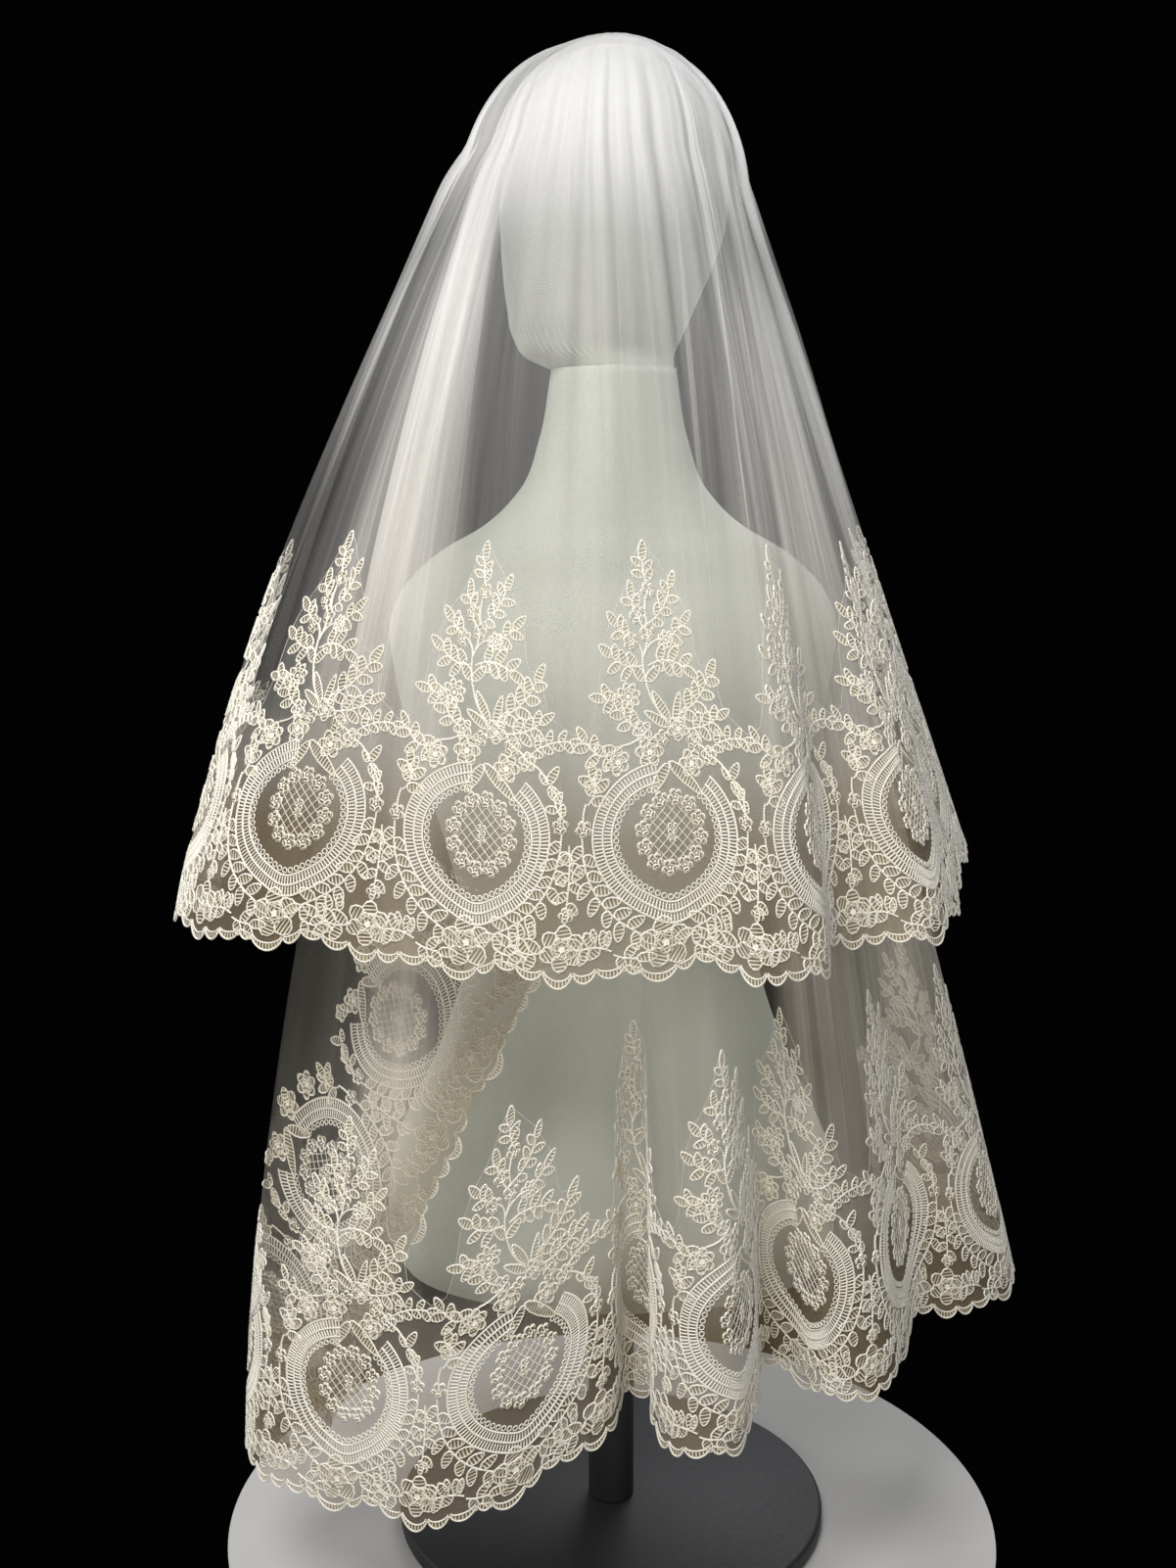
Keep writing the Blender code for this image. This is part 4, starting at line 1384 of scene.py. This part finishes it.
@dataclass
class Stand:
    """The round base and the pole."""

    base_radius: float = 0.150
    base_thickness: float = 0.012
    pole_radius: float = 0.016
    torso_bottom: float = 0.180

    def build(self, wardrobe: Wardrobe) -> None:
        """Both pieces, with rounded rims."""
        for name, node, radius, low, high, soft in (
            ("round_base", "form_base", self.base_radius, 0.0, self.base_thickness, 0.003),
            ("stand_pole", "form_pole", self.pole_radius, self.base_thickness + 0.0003, self.torso_bottom - 0.0003, 0.0008),
        ):
            bm = bmesh.new()
            bmesh.ops.create_cone(
                bm, cap_ends=True, segments=128, radius1=radius, radius2=radius, depth=high - low
            )
            bmesh.ops.translate(bm, vec=(0, 0, (high + low) / 2), verts=bm.verts)
            rims = [edge for edge in bm.edges if edge.calc_face_angle(0.0) > 1.0]
            bmesh.ops.bevel(
                bm, geom=rims, offset=soft, offset_type="OFFSET", affect="EDGES", segments=4, profile=0.5, material=-1
            )
            obj = finished(name, bm, wardrobe.paint)
            obj.data.set_sharp_from_angle(angle=math.radians(40))
            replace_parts(obj, node)


@dataclass
class Heading:
    """The bound heading of the gathers and the comb under it."""

    band_radius: float = 0.0035
    band_half_length: float = 0.029
    comb_half_width: float = 0.035
    teeth: int = 12
    wire: float = 0.0006
    lift: float = 0.0009

    def on_crown(self, x: float, back: float, lift: float) -> Vector:
        """A point lying on the crown, raised by a lift."""
        side = x / (HEAD_HALF_WIDTH + lift)
        depth = back / (HEAD_HALF_DEPTH + lift)
        height = math.sqrt(max(1 - side**2 - depth**2, 0.02))
        return Vector((x, HEAD_MIDDLE_Y - back, HEAD_MIDDLE_Z + (HEAD_RISE + lift) * height))

    def tube(self, line: list[Vector], radii: list[float], sides: int) -> bmesh.types.BMesh:
        """A closed round tube along a line.

        Args:
            line: The points of its middle.
            radii: Its radius at each point.
            sides: How many sides it has.

        Returns:
            The mesh.
        """
        points = np.empty((sides + 1, len(line), 3))
        spread = np.empty((sides + 1, len(line), 2))
        run = 0.0
        for k, middle in enumerate(line):
            ahead = (line[min(k + 1, len(line) - 1)] - line[max(k - 1, 0)]).normalized()
            side = ahead.cross(Vector((0, 0, 1))).normalized()
            up = side.cross(ahead)
            run += (middle - line[max(k - 1, 0)]).length
            for i in range(sides + 1):
                turn = 2 * math.pi * i / sides
                points[i, k] = middle + (side * math.cos(turn) + up * math.sin(turn)) * radii[k]
                spread[i, k] = (run, i / sides * 0.001)
        bm = laid_grid(points, spread, wrapped=True)
        rims = [edge for edge in bm.edges if edge.is_boundary]
        bmesh.ops.holes_fill(bm, edges=rims, sides=0)
        bmesh.ops.recalc_face_normals(bm, faces=bm.faces)
        return bm

    def build(self, wardrobe: Wardrobe) -> None:
        """The satin binding and the wire comb."""
        lift = self.lift + 0.0005 + 0.0003 + self.band_radius
        back = HEAD_MIDDLE_Y - GATHER_Y - self.band_radius - 0.0003
        share = np.linspace(-1, 1, 61)
        line = [self.on_crown(self.band_half_length * t, back, lift) for t in share]
        radii = [self.band_radius * (0.93 + 0.05 * math.sin(140 * t)) * min(1, 6 * (1.02 - abs(t))) for t in share]
        band = finished("heading_binding", self.tube(line, radii, 20), wardrobe.satin)
        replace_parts(band, "gather_band")
        comb = bmesh.new()
        scrap = bpy.data.meshes.new("comb_scrap")
        front = GATHER_Y + 0.004 - HEAD_MIDDLE_Y
        wires = []
        for reach in (0.001, 0.0055):
            wires.append([self.on_crown(self.comb_half_width * t, -(front + reach), self.lift) for t in share])
        for k in range(self.teeth):
            x = self.comb_half_width * (2 * k / (self.teeth - 1) - 1)
            wires.append([self.on_crown(x, -(front + 0.002 + 0.039 * t), self.lift) for t in np.linspace(0, 1, 24)])
        for k in range(40):
            x = self.comb_half_width * (2 * k / 39 - 1) * 0.98
            wires.append([self.on_crown(x, -(front + 0.0002 + 0.0060 * t), self.lift + 0.0004) for t in np.linspace(0, 1, 4)])
        for number, wire in enumerate(wires):
            size = self.wire if number < self.teeth + 2 else self.wire * 0.5
            end = [size * min(1.0, 0.35 + 0.25 * (len(wire) - 1 - k)) for k in range(len(wire))]
            tube = self.tube(wire, end, 8)
            tube.to_mesh(scrap)
            tube.free()
            comb.from_mesh(scrap)
        bpy.data.meshes.remove(scrap)
        obj = finished("wire_comb", comb, wardrobe.metal)
        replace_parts(obj, "comb")


@dataclass
class Studio:
    """Camera, lights and the pale floor."""

    lens: float = 41.55
    floor_radius: float = 0.27

    def build(self) -> None:
        """Everything round the piece."""
        camera = bpy.data.cameras.new("camera")
        camera.lens = self.lens
        camera.sensor_width = 36.0
        camera.clip_start = 0.05
        obj = bpy.data.objects.new("camera", camera)
        obj.location = (-0.0165, -1.2, 0.72)
        obj.rotation_euler = (math.radians(90 - 9.2), 0, 0)
        bpy.context.scene.collection.objects.link(obj)
        bpy.context.scene.camera = obj
        self.light("key", (-0.6, -1.3, 2.1), 0.9, 40.0, (1.0, 0.99, 0.975))
        self.light("fill", (1.35, -1.35, 1.0), 1.3, 6.0, (0.95, 0.97, 1.0))
        self.light("low", (0.0, -1.9, 0.35), 1.2, 6.0, (1.0, 0.9, 0.72))
        self.light("rim", (0.5, 1.3, 1.6), 1.0, 15.0, (0.95, 0.97, 1.0))
        self.light("side", (-1.6, 0.1, 0.9), 1.0, 7.0, (1.0, 0.98, 0.95))
        self.world()
        self.floor()
        scene = bpy.context.scene
        scene.view_settings.view_transform = "Standard"
        scene.cycles.transparent_max_bounces = 40
        scene.cycles.max_bounces = 5
        scene.cycles.diffuse_bounces = 3

    def light(self, name: str, place: Row, size: float, power: float, colour: Row) -> None:
        """A soft square light turned to the middle of the piece."""
        lamp = bpy.data.lights.new(name, "AREA")
        lamp.size = size
        lamp.energy = power
        lamp.color = colour
        obj = bpy.data.objects.new(name, lamp)
        obj.location = place
        obj.rotation_euler = (Vector((0, 0, 0.5)) - Vector(place)).to_track_quat("-Z", "Y").to_euler()
        bpy.context.scene.collection.objects.link(obj)

    def world(self) -> None:
        """A dark plain backdrop that still gives a little soft light."""
        world = bpy.data.worlds.new("studio")
        bpy.context.scene.world = world
        world.use_nodes = True
        tree = world.node_tree
        dark = tree.nodes["Background"]
        dark.inputs[0].default_value = (0.0008, 0.0008, 0.0008, 1)
        soft = tree.nodes.new("ShaderNodeBackground")
        soft.inputs[0].default_value = (0.95, 0.97, 1.0, 1)
        soft.inputs[1].default_value = 0.16
        path = tree.nodes.new("ShaderNodeLightPath")
        mix = tree.nodes.new("ShaderNodeMixShader")
        tree.links.new(path.outputs["Is Camera Ray"], mix.inputs[0])
        tree.links.new(soft.outputs[0], mix.inputs[1])
        tree.links.new(dark.outputs[0], mix.inputs[2])
        tree.links.new(mix.outputs[0], tree.nodes["World Output"].inputs[0])

    def floor(self) -> None:
        """The pale round floor."""
        bm = bmesh.new()
        bmesh.ops.create_circle(bm, cap_ends=True, segments=160, radius=self.floor_radius)
        mesh = bpy.data.meshes.new("floor")
        bm.to_mesh(mesh)
        bm.free()
        dye = Dye("floor_paint")
        dye.set(Base_Color=dye.blend(dye.noise(9.0), (0.50, 0.49, 0.48), (0.46, 0.45, 0.44)), Roughness=0.85)
        mesh.materials.append(dye.material)
        obj = bpy.data.objects.new("floor", mesh)
        bpy.context.scene.collection.objects.link(obj)


def main() -> None:
    """Builds the form, the stand, both tiers, the heading and the studio."""
    logging.basicConfig(level=logging.INFO, format="%(message)s")
    Studio().build()
    wardrobe = Wardrobe()
    DressForm().build(wardrobe)
    Stand().build(wardrobe)
    Heading().build(wardrobe)
    tall = LaceRepeat().make(tall=True)
    short = LaceRepeat().make(tall=False)
    log.info("lace repeat: %d faces", len(tall.polygons))
    lower = Tier("lower_net", LOWER_FOLDS, 0.60, 0.120, 0.0, 720, 118, 1.7, 1.02, 0.70, LOWER_BANDS, 0.6, 0.53, CORNER_CUT)
    lower.phase = float(np.interp(0.341, lower.edge_run[:, 0], lower.edge_at)) % 0.120
    upper = Tier("upper_net", UPPER_FOLDS, 0.46, 0.1183, 0.0652, 640, 108, 0.4, 0.66, 0.56, UPPER_BANDS, 1.0, -1.0)
    for tier, halves, nodes, rests in ((lower, 2, "lower_tier", ["head_cover"]), (upper, 1, "upper_tier", ["lower_net"])):
        net = tier.net(wardrobe.net)
        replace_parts(net, nodes + "_net")
        lace = tier.lace(tall, short, wardrobe, halves)
        for piece in lace:
            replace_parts(piece, nodes + "_lace")
        area = (tier.width + tier.heading_width) / 2 * tier.flat_length
        if tier.corner:
            area -= 0.5 * 0.39 * 0.19
    bpy.data.meshes.remove(tall)
    bpy.data.meshes.remove(short)


if __name__ == "__main__":
    main()
